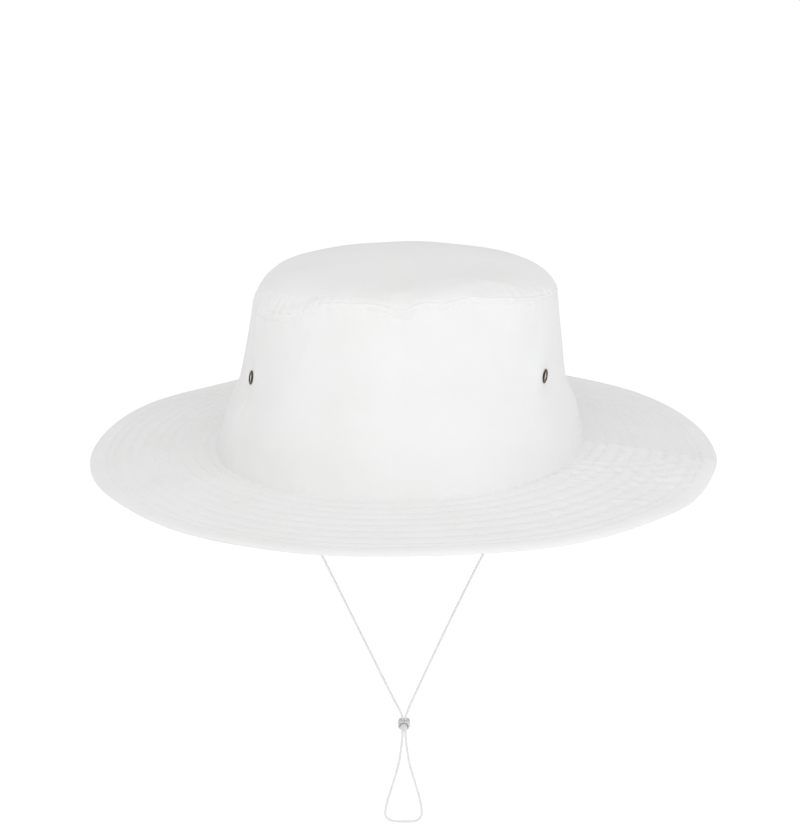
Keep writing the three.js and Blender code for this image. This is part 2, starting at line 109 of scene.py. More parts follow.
# Dents of the tip. ahead and aside place them, long and wide are their half sizes, all as shares
# of the tip's half depth and half width.
TIP_DENTS = columns("ahead aside wide long depth", [
    (0.62, -0.1, 0.22, 0.36, 0.9),
    (0.62, 0.55, 0.3, 0.24, -0.7),
    (0.5, -0.66, 0.26, 0.3, -0.8),
    (-0.65, 0.45, 0.26, 0.35, 0.4),
    (-0.65, -0.6, 0.3, 0.35, 0.5),
])

# Waves of the brim, as shares of the wave height at the outer edge.
BRIM_WAVES = columns("turn span rise", [
    (347, 9, 1.4), (25, 14, -0.5), (188, 10, 0.3), (215, 14, 0.9), (243, 12, 0.6),
    (280, 20, 0.6), (318, 12, 0.8), (134, 14, -1.3), (75, 14, 0.4),
])

# Creases of the crown wall, each a line between two places. drop is the distance below the tip
# seam in millimetres, wide and deep are millimetres too, and a negative deep stands out.
WALL_CREASES = columns("turn_a drop_a turn_b drop_b wide deep", [
    (265, 3.4, 280, 3.1, 0.7, 0.45),
    (206.5, 40, 206, 52, 1.2, 0.45),
    (197, 38, 187, 70, 3.2, -0.6),
    (262, 21, 268, 27, 1.6, 0.22),
    (276, 23, 280, 27, 1.3, 0.2),
    (233, 12, 229, 30, 2.5, 0.25),
    (312, 5, 309, 18, 1.8, 0.25),
    (326, 4, 327, 24, 2.2, 0.3),
    (222, 62, 231, 74, 3, 0.35),
    (150, 20, 141, 52, 3, 0.4),
    (60, 14, 68, 44, 3, 0.35),
    (96, 50, 110, 66, 2.5, 0.3),
    (20, 40, 28, 66, 3, 0.35),
])

# Rolls of the tip's cloth, each a ridge between two places. inset is the distance in from the tip
# seam, wide and high are millimetres too.
TIP_ROLLS = columns("turn_a inset_a turn_b inset_b wide high", [
    (198, 3.5, 236, 3.2, 2.2, 0.8),
    (206, 6.5, 222, 7.5, 2.0, 0.35),
    (190, 10, 230, 12, 4.5, 0.8),
    (262, 11, 278, 11, 3.2, 0.6),
    (292, 6.5, 311, 11, 2.8, 0.85),
    (309, 11, 322, 8, 2.4, 0.7),
    (324, 4, 333, 3, 1.8, 0.3),
    (250, 5.5, 262, 6.5, 1.8, 0.2),
])

# Faint creases of the tip from front to back: place right of the middle, width and depth, in
# millimetres.
TIP_CREASES = columns("aside wide deep", [(-18, 1.6, 0.3), (13, 1.8, 0.25)])

# How far the cloth turns round each front eyelet: its rise for each millimetre anticlockwise and
# for each millimetre up.
EYELET_TILTS = {
    "eyelet_left": (0.15, 0.03),
    "eyelet_right": (-0.24, 0.22),
    "eyelet_rear_left": (0.0, 0.0),
    "eyelet_rear_right": (0.0, 0.0),
}

# The cord's route in its hanging plane: x and z in millimetres.
CORD_ROUTE = [
    (-79.6, 0.2), (-79.3, -3.5), (-77.2, -8.5), (-62, -39), (-42.7, -79.3), (-23.8, -120),
    (-5.4, -159.6), (-2.2, -166), (-0.42, -170.8), (-0.4, -174.9), (-0.42, -179.2),
    (-0.7, -184.5), (-2.5, -197.9), (-5.7, -210), (-9.2, -223), (-9.4, -229), (-6.4, -231.4),
    (0.4, -231.8), (7.2, -231.2), (9.7, -228.6), (9.7, -222.6), (6.6, -209.5), (3.4, -197.8),
    (1.5, -184.5), (1.22, -179.2), (1.2, -174.9), (1.22, -170.8), (2.7, -166), (5.3, -159.6),
    (22.4, -120), (41.2, -78.8), (61.5, -39.5), (78.2, -8.5), (80.3, -1.5), (80.2, 4.2),
]


def length(name, description, default):
    """A length that a user can change, in metres."""
    return bpy.props.FloatProperty(
        name=name, description=description, default=default, unit="LENGTH", precision=4, step=0.01
    )


def number(name, description, default, **more):
    """A plain number that a user can change."""
    return bpy.props.FloatProperty(name=name, description=description, default=default, **more)


def colour(name, description, default):
    """A colour that a user can change."""
    return bpy.props.FloatVectorProperty(
        name=name, description=description, default=default, subtype="COLOR", size=3, min=0, max=1
    )


class HatCrownSizes(bpy.types.PropertyGroup):
    """Sizes of the crown's wall and tip."""

    base_half_width: length("Base half width", "Half the crown's width at the brim seam", 0.0915)
    base_half_depth: length("Base half depth", "Half its depth from front to back there", 0.0965)
    base_square: number("Base squareness", "2 is a plain oval, more is squarer", 2.15)
    seam_tilt: length("Seam tilt", "Rise of the brim seam at the right side", 0.0023)
    height: length("Crown height", "Height that the tip seam's shares refer to", 0.08)
    tip_half_width: length("Tip half width", "Half the width of the tip at its seam", 0.0745)
    tip_half_depth: length("Tip half depth", "Half the depth of the tip at its seam", 0.069)
    tip_square: number("Tip squareness", "2 is a plain oval, more is squarer", 2.35)
    dome_rise: length("Dome rise", "Height of the tip's middle over the crown height", 0.013)
    lean: length("Crown lean", "How far the top sits to the right", 0.0025)
    cloth: length("Crown cloth", "Thickness of the crown's cloth", 0.0015)
    fold_depth: length("Fold depth", "Depth of the wall's soft folds", 0.002)
    dent_depth: length("Dent depth", "Depth of the tip's dents", 0.002)
    sway: length("Cloth sway", "Height of the cloth's slow random waves", 0.0004)
    seam_pull: length("Seam pull", "Height of the puckers along the tip seam", 0.0005)
    seam_sink: length("Seam sink", "How far the cloth rolls in at a seam", 0.0004)
    topstitch: length("Topstitch inset", "From the tip seam to its topstitching", 0.0019)


class HatBrimSizes(bpy.types.PropertyGroup):
    """Sizes of the brim and its quilting."""

    side_width: length("Side width", "Width of the brim at the sides", 0.065)
    front_width: length("Front width", "Width of the brim at front and back", 0.0625)
    square: number("Brim squareness", "2 is a plain oval, more is squarer", 2.0)
    shift: length("Brim shift", "How far the outer edge sits to the right", 0.002)
    drop: length("Brim drop", "Fall that the edge's shares refer to", 0.01)
    bend: number("Brim bend", "1 falls straight to the edge, more falls later", 1.15)
    wave: length("Brim wave", "Height of the brim's slow waves", 0.0016)
    cloth: length("Brim thickness", "Thickness of the quilted brim", 0.0026)
    hem_round: length("Hem rounding", "How far the rolled edge stands out", 0.0008)
    hem_thin: length("Hem thinning", "How much thinner the brim is at its edge", 0.001)
    hem_droop: length("Hem droop", "How far the hem bends down to its edge", 0.0005)
    hem_row: length("Hem row", "From the edge to the outermost row of stitching", 0.0075)
    second_row: length("Second row", "From the edge to the second row", 0.0115)
    row_pitch: length("Row pitch", "Distance between the other rows", 0.0069)
    rows: bpy.props.IntProperty(name="Rows", description="Rows of stitching", default=9, min=3)
    groove: length("Groove depth", "How far each row sinks into the quilting", 0.0007)
    pucker: length("Pucker height", "Height of the small puckers between rows", 0.00016)
    seam_turn: number("Side seam turn", "Degrees round the hat of the brim's side seam", 352.0)
    seam_ridge: length("Side seam ridge", "Height of the ridge along that seam", 0.0019)
    seam_kink: length("Side seam kink", "How far the rows run out where they meet it", 0.0014)


class HatTrimSizes(bpy.types.PropertyGroup):
    """Sizes of the stitches, eyelets, tabs, cord and cord lock."""

    stitch: length("Stitch length", "Length of one stitch", 0.0026)
    stitch_gap: length("Stitch gap", "Gap between two stitches of a row", 0.0006)
    thread: length("Thread", "Thickness of the sewing thread", 0.00032)
    eyelet_turn: number("Eyelet turn", "Degrees from the front, and from the back", 61.2)
    eyelet_skew: number("Eyelet skew", "Degrees by which all four sit clockwise", 2.6)
    eyelet_height: length("Eyelet height", "Height of the eyelets over the brim seam", 0.0426)
    eyelet_radius: length("Eyelet radius", "Radius of an eyelet's rim", 0.0035)
    eyelet_bore: length("Eyelet bore", "Radius of an eyelet's hole", 0.0019)
    hole_radius: length("Hole radius", "Radius of the hole in the cloth", 0.0029)
    washer_radius: length("Washer radius", "Radius of the washer inside", 0.0034)
    tab_turn: number("Tab turn", "Degrees that the tabs sit behind the sides", 28.4)
    tab_height: length("Tab height", "Middle of a tab over the brim seam", 0.007)
    tab_width: length("Tab width", "Width of a tab", 0.01)
    tab_length: length("Tab length", "Size of a tab from its lower to its upper edge", 0.009)
    tab_cloth: length("Tab cloth", "Thickness of a tab", 0.0016)
    tab_gap: length("Tab gap", "Gap between a tab and the wall", 0.0004)
    cord: length("Cord", "Diameter of the chin cord", 0.0013)
    cord_plane: length("Cord plane", "How far behind the middle the cord hangs", 0.043)
    cord_lay: length("Cord lay", "Length of one full twist of its strands", 0.0054)
    lock_x: length("Lock place", "How far right of the middle the lock hangs", 0.0004)
    lock_z: length("Lock height", "Height of the lock, below the brim seam", -0.1749)
    lock_front: length("Lock front", "Reach of the body in front of the cords", 0.0034)
    lock_back: length("Lock back", "Reach of the body behind the cords", 0.0043)
    button_proud: length("Button proud", "How far the button stands out", 0.0018)
    button_travel: length("Button travel", "How far the button can be pushed in", 0.0015)


class HatColours(bpy.types.PropertyGroup):
    """Colours of the hat and its studio."""

    cloth: colour("Cloth", "White cotton", (0.87, 0.87, 0.868))
    thread: colour("Thread", "Sewing thread", (0.88, 0.88, 0.88))
    tape: colour("Tape", "Cotton tape of the cord tabs", (0.84, 0.84, 0.83))
    cord: colour("Cord", "Chin cord", (0.79, 0.79, 0.79))
    metal: colour("Eyelet metal", "Dark plated brass", (0.035, 0.026, 0.022))
    worn: colour("Worn metal", "Where the plating is rubbed", (0.2, 0.165, 0.14))
    # Painted light: the barrel's inside is painted pale to stand in for light seen in the bore.
    bore_painted_light: colour("Painted bore light", "Pale inside of the barrel, standing in for light seen in the bore", (0.85, 0.8, 0.74))
    lock: colour("Lock", "Grey plastic of the lock's body", (0.66, 0.66, 0.66))
    button: colour("Button", "Paler plastic of the push button", (0.68, 0.68, 0.68))
    floor: colour("Floor", "Pale studio floor", (0.95, 0.95, 0.95))


class HatStudio(bpy.types.PropertyGroup):
    """Camera and lights."""

    azimuth: number("Azimuth", "Degrees that the camera stands right of the front", 2.0)
    elevation: number("Elevation", "Degrees that it stands above the hat", 17.0)
    distance: length("Distance", "From the origin to the camera", 1.3)
    lens: number("Lens", "Focal length in millimetres for a 36 mm frame height", 111.83)
    frame_right: length("Frame right", "Sideways step of the camera", -0.00025)
    frame_up: length("Frame up", "Upward step of the camera", 0.00925)
    floor_drop: length("Floor drop", "Floor below the brim seam", 0.5)
    sky: number("Sky", "Light from every side", 0.33)
    sky_front: number("Front sky", "More light from the front, fading to the sides", 0.51)
    sky_top: number("Top sky", "More light from above, fading to the horizon", 0.62)
    key: number("Key light", "Power of the large light at the front left", 4.5, unit="POWER")
    fill: number("Fill light", "Power of the light at the front right", 9.5, unit="POWER")
    glow: number("Floor glow", "Light that the floor gives off", 0.22)


GROUPS = {
    "hat_crown": HatCrownSizes,
    "hat_brim": HatBrimSizes,
    "hat_trim": HatTrimSizes,
    "hat_colours": HatColours,
    "hat_studio": HatStudio,
}


# Curves and waves that every surface uses. Turns are degrees, anticlockwise from +X seen from above.


def oval_radius(turn, half_width, half_depth, square):
    """Radius of a superellipse: the two half sizes' cosine and sine shares, raised and added."""
    a = np.radians(turn)
    x = np.abs(np.cos(a) / half_width) ** square
    y = np.abs(np.sin(a) / half_depth) ** square
    return (x + y) ** (-1 / square)


def around_hat(turn, column):
    """Smooth closed curve through one column of SECTIONS: a cubic through each four neighbours."""
    values = SECTIONS[column]
    count = len(values)
    place = (turn % 360) / 360 * count
    first = np.floor(place).astype(int) % count
    f = place - np.floor(place)
    a, b, c, d = (values[(first + k) % count] for k in (-1, 0, 1, 2))
    return b + 0.5 * f * (c - a + f * (2 * a - 5 * b + 4 * c - d + f * (3 * (b - c) + d - a)))


def along_table(value, keys, column):
    """Smooth curve through a table's column: cubics whose slopes come from each row's neighbours."""
    before = np.r_[0, np.arange(len(keys) - 1)]
    after = np.r_[np.arange(1, len(keys)), len(keys) - 1]
    slopes = (column[after] - column[before]) / (keys[after] - keys[before])
    i = np.clip(np.searchsorted(keys, value, side="right") - 1, 0, len(keys) - 2)
    span = keys[i + 1] - keys[i]
    f = (value - keys[i]) / span
    start = (2 * f**3 - 3 * f**2 + 1) * column[i] + (f**3 - 2 * f**2 + f) * span * slopes[i]
    end = (3 * f**2 - 2 * f**3) * column[i + 1] + (f**3 - f**2) * span * slopes[i + 1]
    return start + end


def apart(turn, centre):
    """Degrees from centre to turn, the short way round."""
    return (turn - centre + 180) % 360 - 180


def near(turn, centre, span):
    """Bell round a turn: e to the minus square of the distance over the span."""
    return np.exp(-((apart(turn, centre) / span) ** 2))


def bell(value, centre, span):
    """The same bell on a straight line."""
    return np.exp(-(((value - centre) / span) ** 2))


def rows_of(table):
    """The rows of a table, each as its tuple of numbers."""
    return zip(*table.values())


def ripples(turn, along, low, high, seed, drift=0.0, slant=0.0, count=16):
    """Random waves round the hat: cosines with low to high crests and seeded phases, added up.
    along, times a seeded drift round a common slant, moves each wave's phase, so that the crests
    run at a slant and wander."""
    random = np.random.default_rng(seed)
    crests = random.integers(low, high + 1, count)
    phases = random.uniform(0, 2 * math.pi, count)
    drifts = random.normal(slant, drift, count)
    angle = np.radians(turn)
    waves = sum(np.cos(n * angle + p + d * along) for n, p, d in zip(crests, phases, drifts))
    return waves / math.sqrt(count / 2)


def facing(face, turn, share, high=1.0):
    """Unit normals of a face whose shares run from 0 to high: the cross product of its differences
    along turn and share."""
    degrees = 0.02
    step = 1e-3 * high
    inside = np.clip(share, step, high - step)
    across = face(turn + degrees, inside) - face(turn - degrees, inside)
    along = face(turn, inside + step) - face(turn, inside - step)
    normal = np.cross(across, along)
    return normal / np.linalg.norm(normal, axis=-1, keepdims=True)


def polar_point(radius, turn, x_shift, z):
    """Points at a radius and turn, moved along +X, at a height."""
    a = np.radians(turn)
    return np.stack([radius * np.cos(a) + x_shift, radius * np.sin(a), z], axis=-1)


def outward(turn):
    """Level unit directions away from the middle."""
    return polar_point(np.ones_like(turn), turn, 0, np.zeros_like(turn))


# Crown

# Half the gap between the wall's and the tip's edges and the seam that they share.
SEAM_LINE = 0.05 * MM

# Share of the way in over which the tip seam's short waves die out.
WAVES_DIE_OUT = 0.25

# Turn where the tip seam is puckered most, and the degrees over which its roll and its rim change.
PUCKERED_TURN = 213
ROLL_SPAN = 24
RIM_SPAN = 26

# Relief along the tip seam: the height of each part of it, and how far from the seam it reaches.
ROLL_REACH = 0.5 * MM
SWELL_HEIGHT = 0.2 * MM
SWELL_REACH = 0.6 * MM
TOPSTITCH_DEPTH = 0.25 * MM
TOPSTITCH_REACH = 0.4 * MM
BEAD_HEIGHT = 0.45 * MM
BEAD_REACH = 2.4 * MM
PUCKER_REACH = 6.5 * MM
PINNED_REACH = 0.8 * MM
RIM_REACH = 0.8 * MM

# Relief at the wall's foot, and how far down it is sewn.
FOOT_ROLL = 0.2 * MM
FOOT_ROLL_REACH = 1.1 * MM
FOOT_PULL_REACH = 4 * MM
FOOT_DIP = 1.2 * MM
FOOT_DIP_REACH = 0.8 * MM

# Round an eyelet: the dimple, the calm cloth without other relief, and the turned cloth.
DIMPLE_DEPTH = 0.2 * MM
DIMPLE_REACH = 5 * MM
CALM_REACH = 4.8 * MM
TILT_REACH = 9 * MM


def seam_height(turn):
    """Height of the brim seam: the tilt times the cosine of the turn."""
    return bpy.context.scene.hat_crown.seam_tilt * np.cos(np.radians(turn))


def tip_seam_height(turn):
    """Height of the tip seam: its section shares plus its dips and humps, times the height."""
    return bpy.context.scene.hat_crown.height * around_hat(turn, "tip") + seam_waves(turn)


def seam_waves(turn):
    """Dips and humps of the tip seam."""
    waves = sum(rise * near(turn, at, span) for at, span, rise in rows_of(SEAM_WAVES))
    return bpy.context.scene.hat_crown.height * waves


def base_radius(turn):
    """Radius of the brim seam: the base oval."""
    crown = bpy.context.scene.hat_crown
    return oval_radius(turn, crown.base_half_width, crown.base_half_depth, crown.base_square)


def tip_oval(turn):
    """Radius of the tip seam: the tip oval."""
    crown = bpy.context.scene.hat_crown
    return oval_radius(turn, crown.tip_half_width, crown.tip_half_depth, crown.tip_square)


def wall_rise(turn):
    """Height of the wall from the brim seam to the tip seam."""
    return tip_seam_height(turn) - seam_height(turn)


def wall_face(turn, up):
    """Crown wall: tip oval plus the flare's share of the way out to the base oval, plus folds that
    fade out at both seams, while the height runs from the brim seam to the tip seam."""
    crown = bpy.context.scene.hat_crown
    tip = tip_oval(turn)
    fold = sum(
        out * near(turn, at, span) * bell(up, mid, mid_span)
        for at, span, mid, mid_span, out in rows_of(WALL_FOLDS)
    )
    fade = np.sin(math.pi * np.clip(up, 0, 1))
    flare = along_table(up, FLARE["up"], FLARE["flare"])
    radius = tip + (base_radius(turn) - tip) * flare + crown.fold_depth * fold * fade
    low = seam_height(turn) + SEAM_LINE
    high = tip_seam_height(turn) - SEAM_LINE
    return polar_point(radius, turn, crown.lean * up, low + (high - low) * up)


def tip_face(turn, run):
    """Tip: the dome's share of the tip oval, risen from the seam by the dome's share, less dents."""
    crown = bpy.context.scene.hat_crown
    radius = tip_oval(turn) * along_table(run, DOME["run"], DOME["radius"])
    flat = polar_point(radius, turn, 0, np.zeros_like(radius))
    ahead = -flat[..., 1] / crown.tip_half_depth
    aside = flat[..., 0] / crown.tip_half_width
    dent = sum(
        depth * bell(ahead, a, long) * bell(aside, s, wide)
        for a, s, wide, long, depth in rows_of(TIP_DENTS)
    )
    gone = 1 - bell(run, 0, WAVES_DIE_OUT)
    low = tip_seam_height(turn) + SEAM_LINE - seam_waves(turn) * gone
    rise = along_table(run, DOME["run"], DOME["rise"])
    high = crown.height + crown.dome_rise
    fade = np.clip(run / DOME["run"][2], 0, 1)
    z = low + (high - low) * rise - crown.dent_depth * dent * fade
    return polar_point(radius, turn, crown.lean, z)


def eyelet_turns():
    """Node name of each eyelet with its turn."""
    trim = bpy.context.scene.hat_trim
    return {
        "eyelet_left": FRONT - trim.eyelet_turn - trim.eyelet_skew,
        "eyelet_right": FRONT + trim.eyelet_turn - trim.eyelet_skew,
        "eyelet_rear_left": BACK + trim.eyelet_turn - trim.eyelet_skew,
        "eyelet_rear_right": BACK - trim.eyelet_turn - trim.eyelet_skew,
    }


def wall_up(turn, height):
    """Share of the wall's height at a height over the brim seam."""
    return height / wall_rise(turn)


def line_relief(table, turn, away, radius):
    """Relief of a table's lines: a bell of the distance to each line, times its height, fullest
    at the line's middle. away is the distance from the tip seam, and radius turns degrees into
    lengths."""
    relief = np.zeros(np.broadcast(turn, away).shape)
    per_degree = math.radians(1) * radius / MM
    for turn_a, away_a, turn_b, away_b, wide, high in rows_of(table):
        x = apart(turn, turn_a) * per_degree
        y = away / MM - away_a
        line_x = apart(turn_b, turn_a) * per_degree
        line_y = away_b - away_a
        share = np.clip((x * line_x + y * line_y) / (line_x**2 + line_y**2), 0, 1)
        gap = np.hypot(x - share * line_x, y - share * line_y)
        relief += high * MM * bell(gap, 0, wide) * (0.35 + 0.65 * np.sin(math.pi * share))
    return relief


def seam_relief(turn, inset, seed, strength):
    """Relief along the tip seam: the cloth rolls in at the seam, swells, sinks under the
    topstitching and puckers, all fading with the distance from the seam."""
    crown = bpy.context.scene.hat_crown
    pulls = ripples(turn, inset / MM, 60, 120, seed, 0.12) * 0.5
    pulls += ripples(turn, inset / MM, 22, 50, seed + 1, 0.08) * 0.8
    # Where the cloth is puckered most, its roll hides the seam.
    clear = 1 - 0.95 * near(turn, PUCKERED_TURN, ROLL_SPAN)
    roll = -crown.seam_sink * clear * np.exp(-inset / ROLL_REACH)
    swell = SWELL_HEIGHT * bell(inset, 0.5 * crown.topstitch, SWELL_REACH)
    from_stitch = np.abs(inset - crown.topstitch)
    stitch = -TOPSTITCH_DEPTH * clear * np.exp(-from_stitch / TOPSTITCH_REACH)
    fade = np.exp(-((inset / PUCKER_REACH) ** 1.3)) * (1 - 0.85 * np.exp(-inset / PINNED_REACH))
    bead = BEAD_HEIGHT * (1 - clear) * bell(inset, 0, BEAD_REACH)
    return roll + swell + stitch + bead + crown.seam_pull * strength * pulls * fade


def wall_relief(turn, up):
    """Fine relief of the wall: seam relief at the top, a roll at the foot, creases and slow waves,
    with a shallow dimple round each eyelet."""
    crown = bpy.context.scene.hat_crown
    from_tip = (1 - up) * wall_rise(turn)
    from_base = up * wall_rise(turn)
    relief = seam_relief(turn, from_tip, 11, 0.3 + 0.3 * near(turn, 272, 9))
    relief += FOOT_ROLL * np.exp(-from_base / FOOT_ROLL_REACH)
    foot = np.exp(-from_base / FOOT_PULL_REACH)
    relief += 0.15 * crown.seam_pull * ripples(turn, from_base / MM, 50, 120, 21, 0.1) * foot
    relief -= line_relief(WALL_CREASES, turn, from_tip, crown.tip_half_width)
    slow = ripples(turn, up * 10, 4, 15, 31, 0.25)
    relief += crown.sway * slow * np.sin(math.pi * np.clip(up, 0, 1))
    for at in eyelet_turns().values():
        gap = np.hypot(*from_eyelet(turn, from_base, at))
        calm = np.exp(-((gap / CALM_REACH) ** 4))
        relief = relief * (1 - calm) - DIMPLE_DEPTH * bell(gap, 0, DIMPLE_REACH)
    return relief


def from_eyelet(turn, height, at):
    """Distances from an eyelet's middle: along the wall anticlockwise, and up."""
    radius = np.linalg.norm(wall_face(np.array([at]), np.array([0.5]))[0, :2])
    return np.radians(apart(turn, at)) * radius, height - bpy.context.scene.hat_trim.eyelet_height


def wall_tilted(turn, up):
    """Smooth wall with the cloth round each eyelet turned: the distance from its middle times the
    tilt, under a bell."""
    height = up * wall_rise(turn)
    turned = np.zeros(np.shape(height))
    for name, at in eyelet_turns().items():
        around, above = from_eyelet(turn, height, at)
        side_tilt, up_tilt = EYELET_TILTS[name]
        close = bell(np.hypot(around, above), 0, TILT_REACH)
        turned += (side_tilt * around + up_tilt * above) * close
    return wall_face(turn, up) + facing(wall_face, turn, up) * turned[..., None]


def wall_point(turn, up):
    """Outer face of the wall with its fine relief along the normal. Its foot is sewn down into the
    brim."""
    relief = wall_relief(turn, up)[..., None]
    point = wall_tilted(turn, up) + facing(wall_face, turn, up) * relief
    point[..., 2] -= FOOT_DIP * np.exp(-up * wall_rise(turn) / FOOT_DIP_REACH)
    return point


def tip_inset(turn, run):
    """Distance in from the tip seam: the way along the dome, nearly straight close to the seam."""
    first = 0.06
    way = tip_face(turn, np.full_like(turn, first)) - tip_face(turn, 0 * turn)
    return run * np.linalg.norm(way, axis=-1) / first


def tip_relief(turn, run):
    """Fine relief of the tip: seam relief, slow waves and two faint creases from front to back."""
    crown = bpy.context.scene.hat_crown
    inset = tip_inset(turn, run)
    strength = 0.3 + 0.8 * near(turn, 222, 17) + 0.5 * near(turn, 331, 14)
    relief = seam_relief(turn, inset, 41, strength)
    relief += line_relief(TIP_ROLLS, turn, inset, crown.tip_half_width)
    flat = tip_face(turn, run)
    slanted = flat[..., 0] + 0.12 * (flat[..., 1] + 20 * MM)
    ahead = np.clip(-flat[..., 1] / crown.tip_half_depth, -1, 1)
    for aside, wide, deep in rows_of(TIP_CREASES):
        relief -= deep * MM * bell(slanted, aside * MM, wide * MM) * bell(ahead, 0.1, 0.55)
    slow = ripples(turn, run * 10, 2, 9, 51, 0.2) * np.sin(math.pi * np.clip(run, 0, 1))
    return relief + crown.sway * slow * (1 - run)


def tip_point(turn, run):
    """Outer face of the tip with its fine relief along the normal. Its rim is sewn down on the
    wall, most where the puckers are strongest."""
    point = tip_face(turn, run) + facing(tip_face, turn, run) * tip_relief(turn, run)[..., None]
    down = (0.1 + 0.8 * near(turn, PUCKERED_TURN, RIM_SPAN)) * MM
    point[..., 2] -= down * np.exp(-tip_inset(turn, run) / RIM_REACH)
    return point


# Brim

# Spans, in degrees from the side seam, of its ridge, of the rows' kink and of their deeper part.
RIDGE_SPAN = 7
KINK_SPAN = 4
DEEPER_SPAN = 12

# Quilting: how far a row's groove reaches and how far it pins the puckers, how far the cloth lies
# calm beside the crown, the sink at the crown's foot, and how much the rows wander.
GROOVE_REACH = 1.5 * MM
PINNED_BY_ROW = 1.6 * MM
CALM_AT_CROWN = 4 * MM
SINK_AT_CROWN = 0.15 * MM
SINK_REACH = 1.1 * MM
ROW_WANDER = 0.25 * MM

# Side seam: its own groove, and the low swell beside it.
SIDE_SEAM_DEPTH = 0.6 * MM
SIDE_SEAM_REACH = 0.7 * MM
SIDE_SWELL_HEIGHT = 0.25 * MM
SIDE_SWELL_PLACE = 3 * MM
SIDE_SWELL_REACH = 1.6 * MM

# Edge: where its rounding starts, how far it thins the brim, and the height of the turned hem.
ROUND_IN = 1.4 * MM
THIN_REACH = 9 * MM
HEM_HEIGHT = 0.2 * MM


def brim_radii(turn):
    """Inner and outer radius of the brim: base oval less the cloth, and the outer oval's reach."""
    crown = bpy.context.scene.hat_crown
    brim = bpy.context.scene.hat_brim
    inner = base_radius(turn) - crown.cloth
    half_width = crown.base_half_width + brim.side_width
    half_depth = crown.base_half_depth + brim.front_width
    outer = oval_radius(turn, half_width, half_depth, brim.square) * around_hat(turn, "reach")
    return inner, outer


def brim_face(turn, inset):
    """Smooth upper face of the brim at a distance in from its edge: it falls from the seam by a
    power of the way out, with slow waves and a sharp low ridge along the side seam."""
    brim = bpy.context.scene.hat_brim
    inner, outer = brim_radii(turn)
    out = 1 - inset / (outer - inner)
    level = np.clip(out, 0, None)
    waves = sum(rise * near(turn, at, span) for at, span, rise in rows_of(BRIM_WAVES))
    fall = brim.drop * around_hat(turn, "drop") * level**brim.bend
    ridge = np.exp(-np.abs(apart(turn, brim.seam_turn)) / RIDGE_SPAN) * np.sqrt(level)
    hem = brim.hem_droop * np.clip(1 - inset / brim.hem_row, 0, None) ** 2
    z = seam_height(turn) * (1 - out) - fall + brim.wave * waves * out + brim.seam_ridge * ridge - hem
    return polar_point(inner + (outer - inner) * out, turn, brim.shift * out, z)


def brim_normal(turn, inset):
    """Unit normals of the brim's smooth face, up to 50 mm in from its edge."""
    return facing(brim_face, turn, inset, 50 * MM)


def row_insets(turn):
    """Inset of every stitched row at each turn, wandering by a fraction of a millimetre."""
    brim = bpy.context.scene.hat_brim
    rest = brim.second_row + brim.row_pitch * np.arange(1, brim.rows - 1)
    insets = np.r_[brim.hem_row, brim.second_row, rest]
    kink = brim.seam_kink * np.exp(-np.abs(apart(turn, brim.seam_turn)) / KINK_SPAN)
    wander = [ROW_WANDER * ripples(turn, 0, 2, 9, 61 + k) - kink for k in range(len(insets))]
    return insets.reshape(-1, *[1] * np.ndim(turn)) + np.array(wander)


def pull_at(turn, inset, seed):
    """Puckers between the rows: random ripples that run at a slant to the rows, stronger in some
    stretches of each band than in others, and different from one band to the next."""
    rows = row_insets(turn)
    band = (inset >= rows).sum(axis=0)
    slanted = ripples(turn, inset / MM, 60, 110, seed, 0.25, 0.45)
    steeper = ripples(turn, inset / MM, 90, 170, seed + 1, 0.3, 0.2)
    stretches = np.array([ripples(turn, 0, 4, 26, seed + 10 + k) for k in range(len(rows) + 1)])
    strength = 0.85 + 0.25 * np.take_along_axis(stretches, band[None], axis=0)[0]
    strength = np.where(band < 2, 0.3, strength)
    return (0.75 * slanted + 0.35 * steeper) * strength * around_hat(turn, "pucker")


def quilting(turn, inset, seed):
    """Relief of the quilting, below the face: nothing midway between rows and the groove's depth
    on a row, plus the puckers, less near the hem and the side seam's own line."""
    brim = bpy.context.scene.hat_brim
    gaps = np.abs(inset - row_insets(turn))
    gap = gaps.min(axis=0)
    nearest = gaps.argmin(axis=0)
    # Each row is drawn down harder at some stitches than at others.
    uneven = 1 + 0.26 * around_hat(turn, "pucker") * ripples(turn, nearest, 45, 95, seed + 5, 9.0)
    # They are deepest beside the side seam, and nearly flat behind it next to the crown.
    deeper = 1 + 0.7 * near(turn, brim.seam_turn, DEEPER_SPAN)
    flatter = 1 - 0.75 * near(turn, 22, 20) * np.clip((inset - 30 * MM) / (20 * MM), 0, 1)
    groove = brim.groove * uneven * deeper * flatter * np.exp(-((gap / GROOVE_REACH) ** 1.2))
    inner, outer = brim_radii(turn)
    from_crown = outer - inner - inset
    foot = SINK_AT_CROWN * bell(from_crown, bpy.context.scene.hat_crown.cloth, SINK_REACH)
    free = 0.2 + 0.8 * (1 - bell(gap, 0, PINNED_BY_ROW))
    pull = brim.pucker * pull_at(turn, inset, seed) * free * (1 - bell(from_crown, 0, CALM_AT_CROWN))
    across = np.radians(np.abs(apart(turn, brim.seam_turn))) * outer
    seam = SIDE_SEAM_DEPTH * np.exp(-across / SIDE_SEAM_REACH)
    seam -= SIDE_SWELL_HEIGHT * bell(across, SIDE_SWELL_PLACE, SIDE_SWELL_REACH)
    return pull - groove - foot - seam


def hem_paleness_and_painted_light(turn, inset):
    """Share of the turned hem's paleness at a place: full up to its row. The double cloth is paler all
    round, and painted light makes it most at the front right.
    """
    reach = 0.85 * bpy.context.scene.hat_brim.hem_row
    edge = np.exp(-((np.clip(inset, 0, None) / reach) ** 6))
    return edge * (0.25 + 0.75 * near(turn, 300, 48))


def brim_thickness(inset):
    """Thickness of the brim: full over most of its width, less towards its edge."""
    brim = bpy.context.scene.hat_brim
    return brim.cloth - brim.hem_thin * bell(np.clip(inset, 0, None), 0, THIN_REACH)


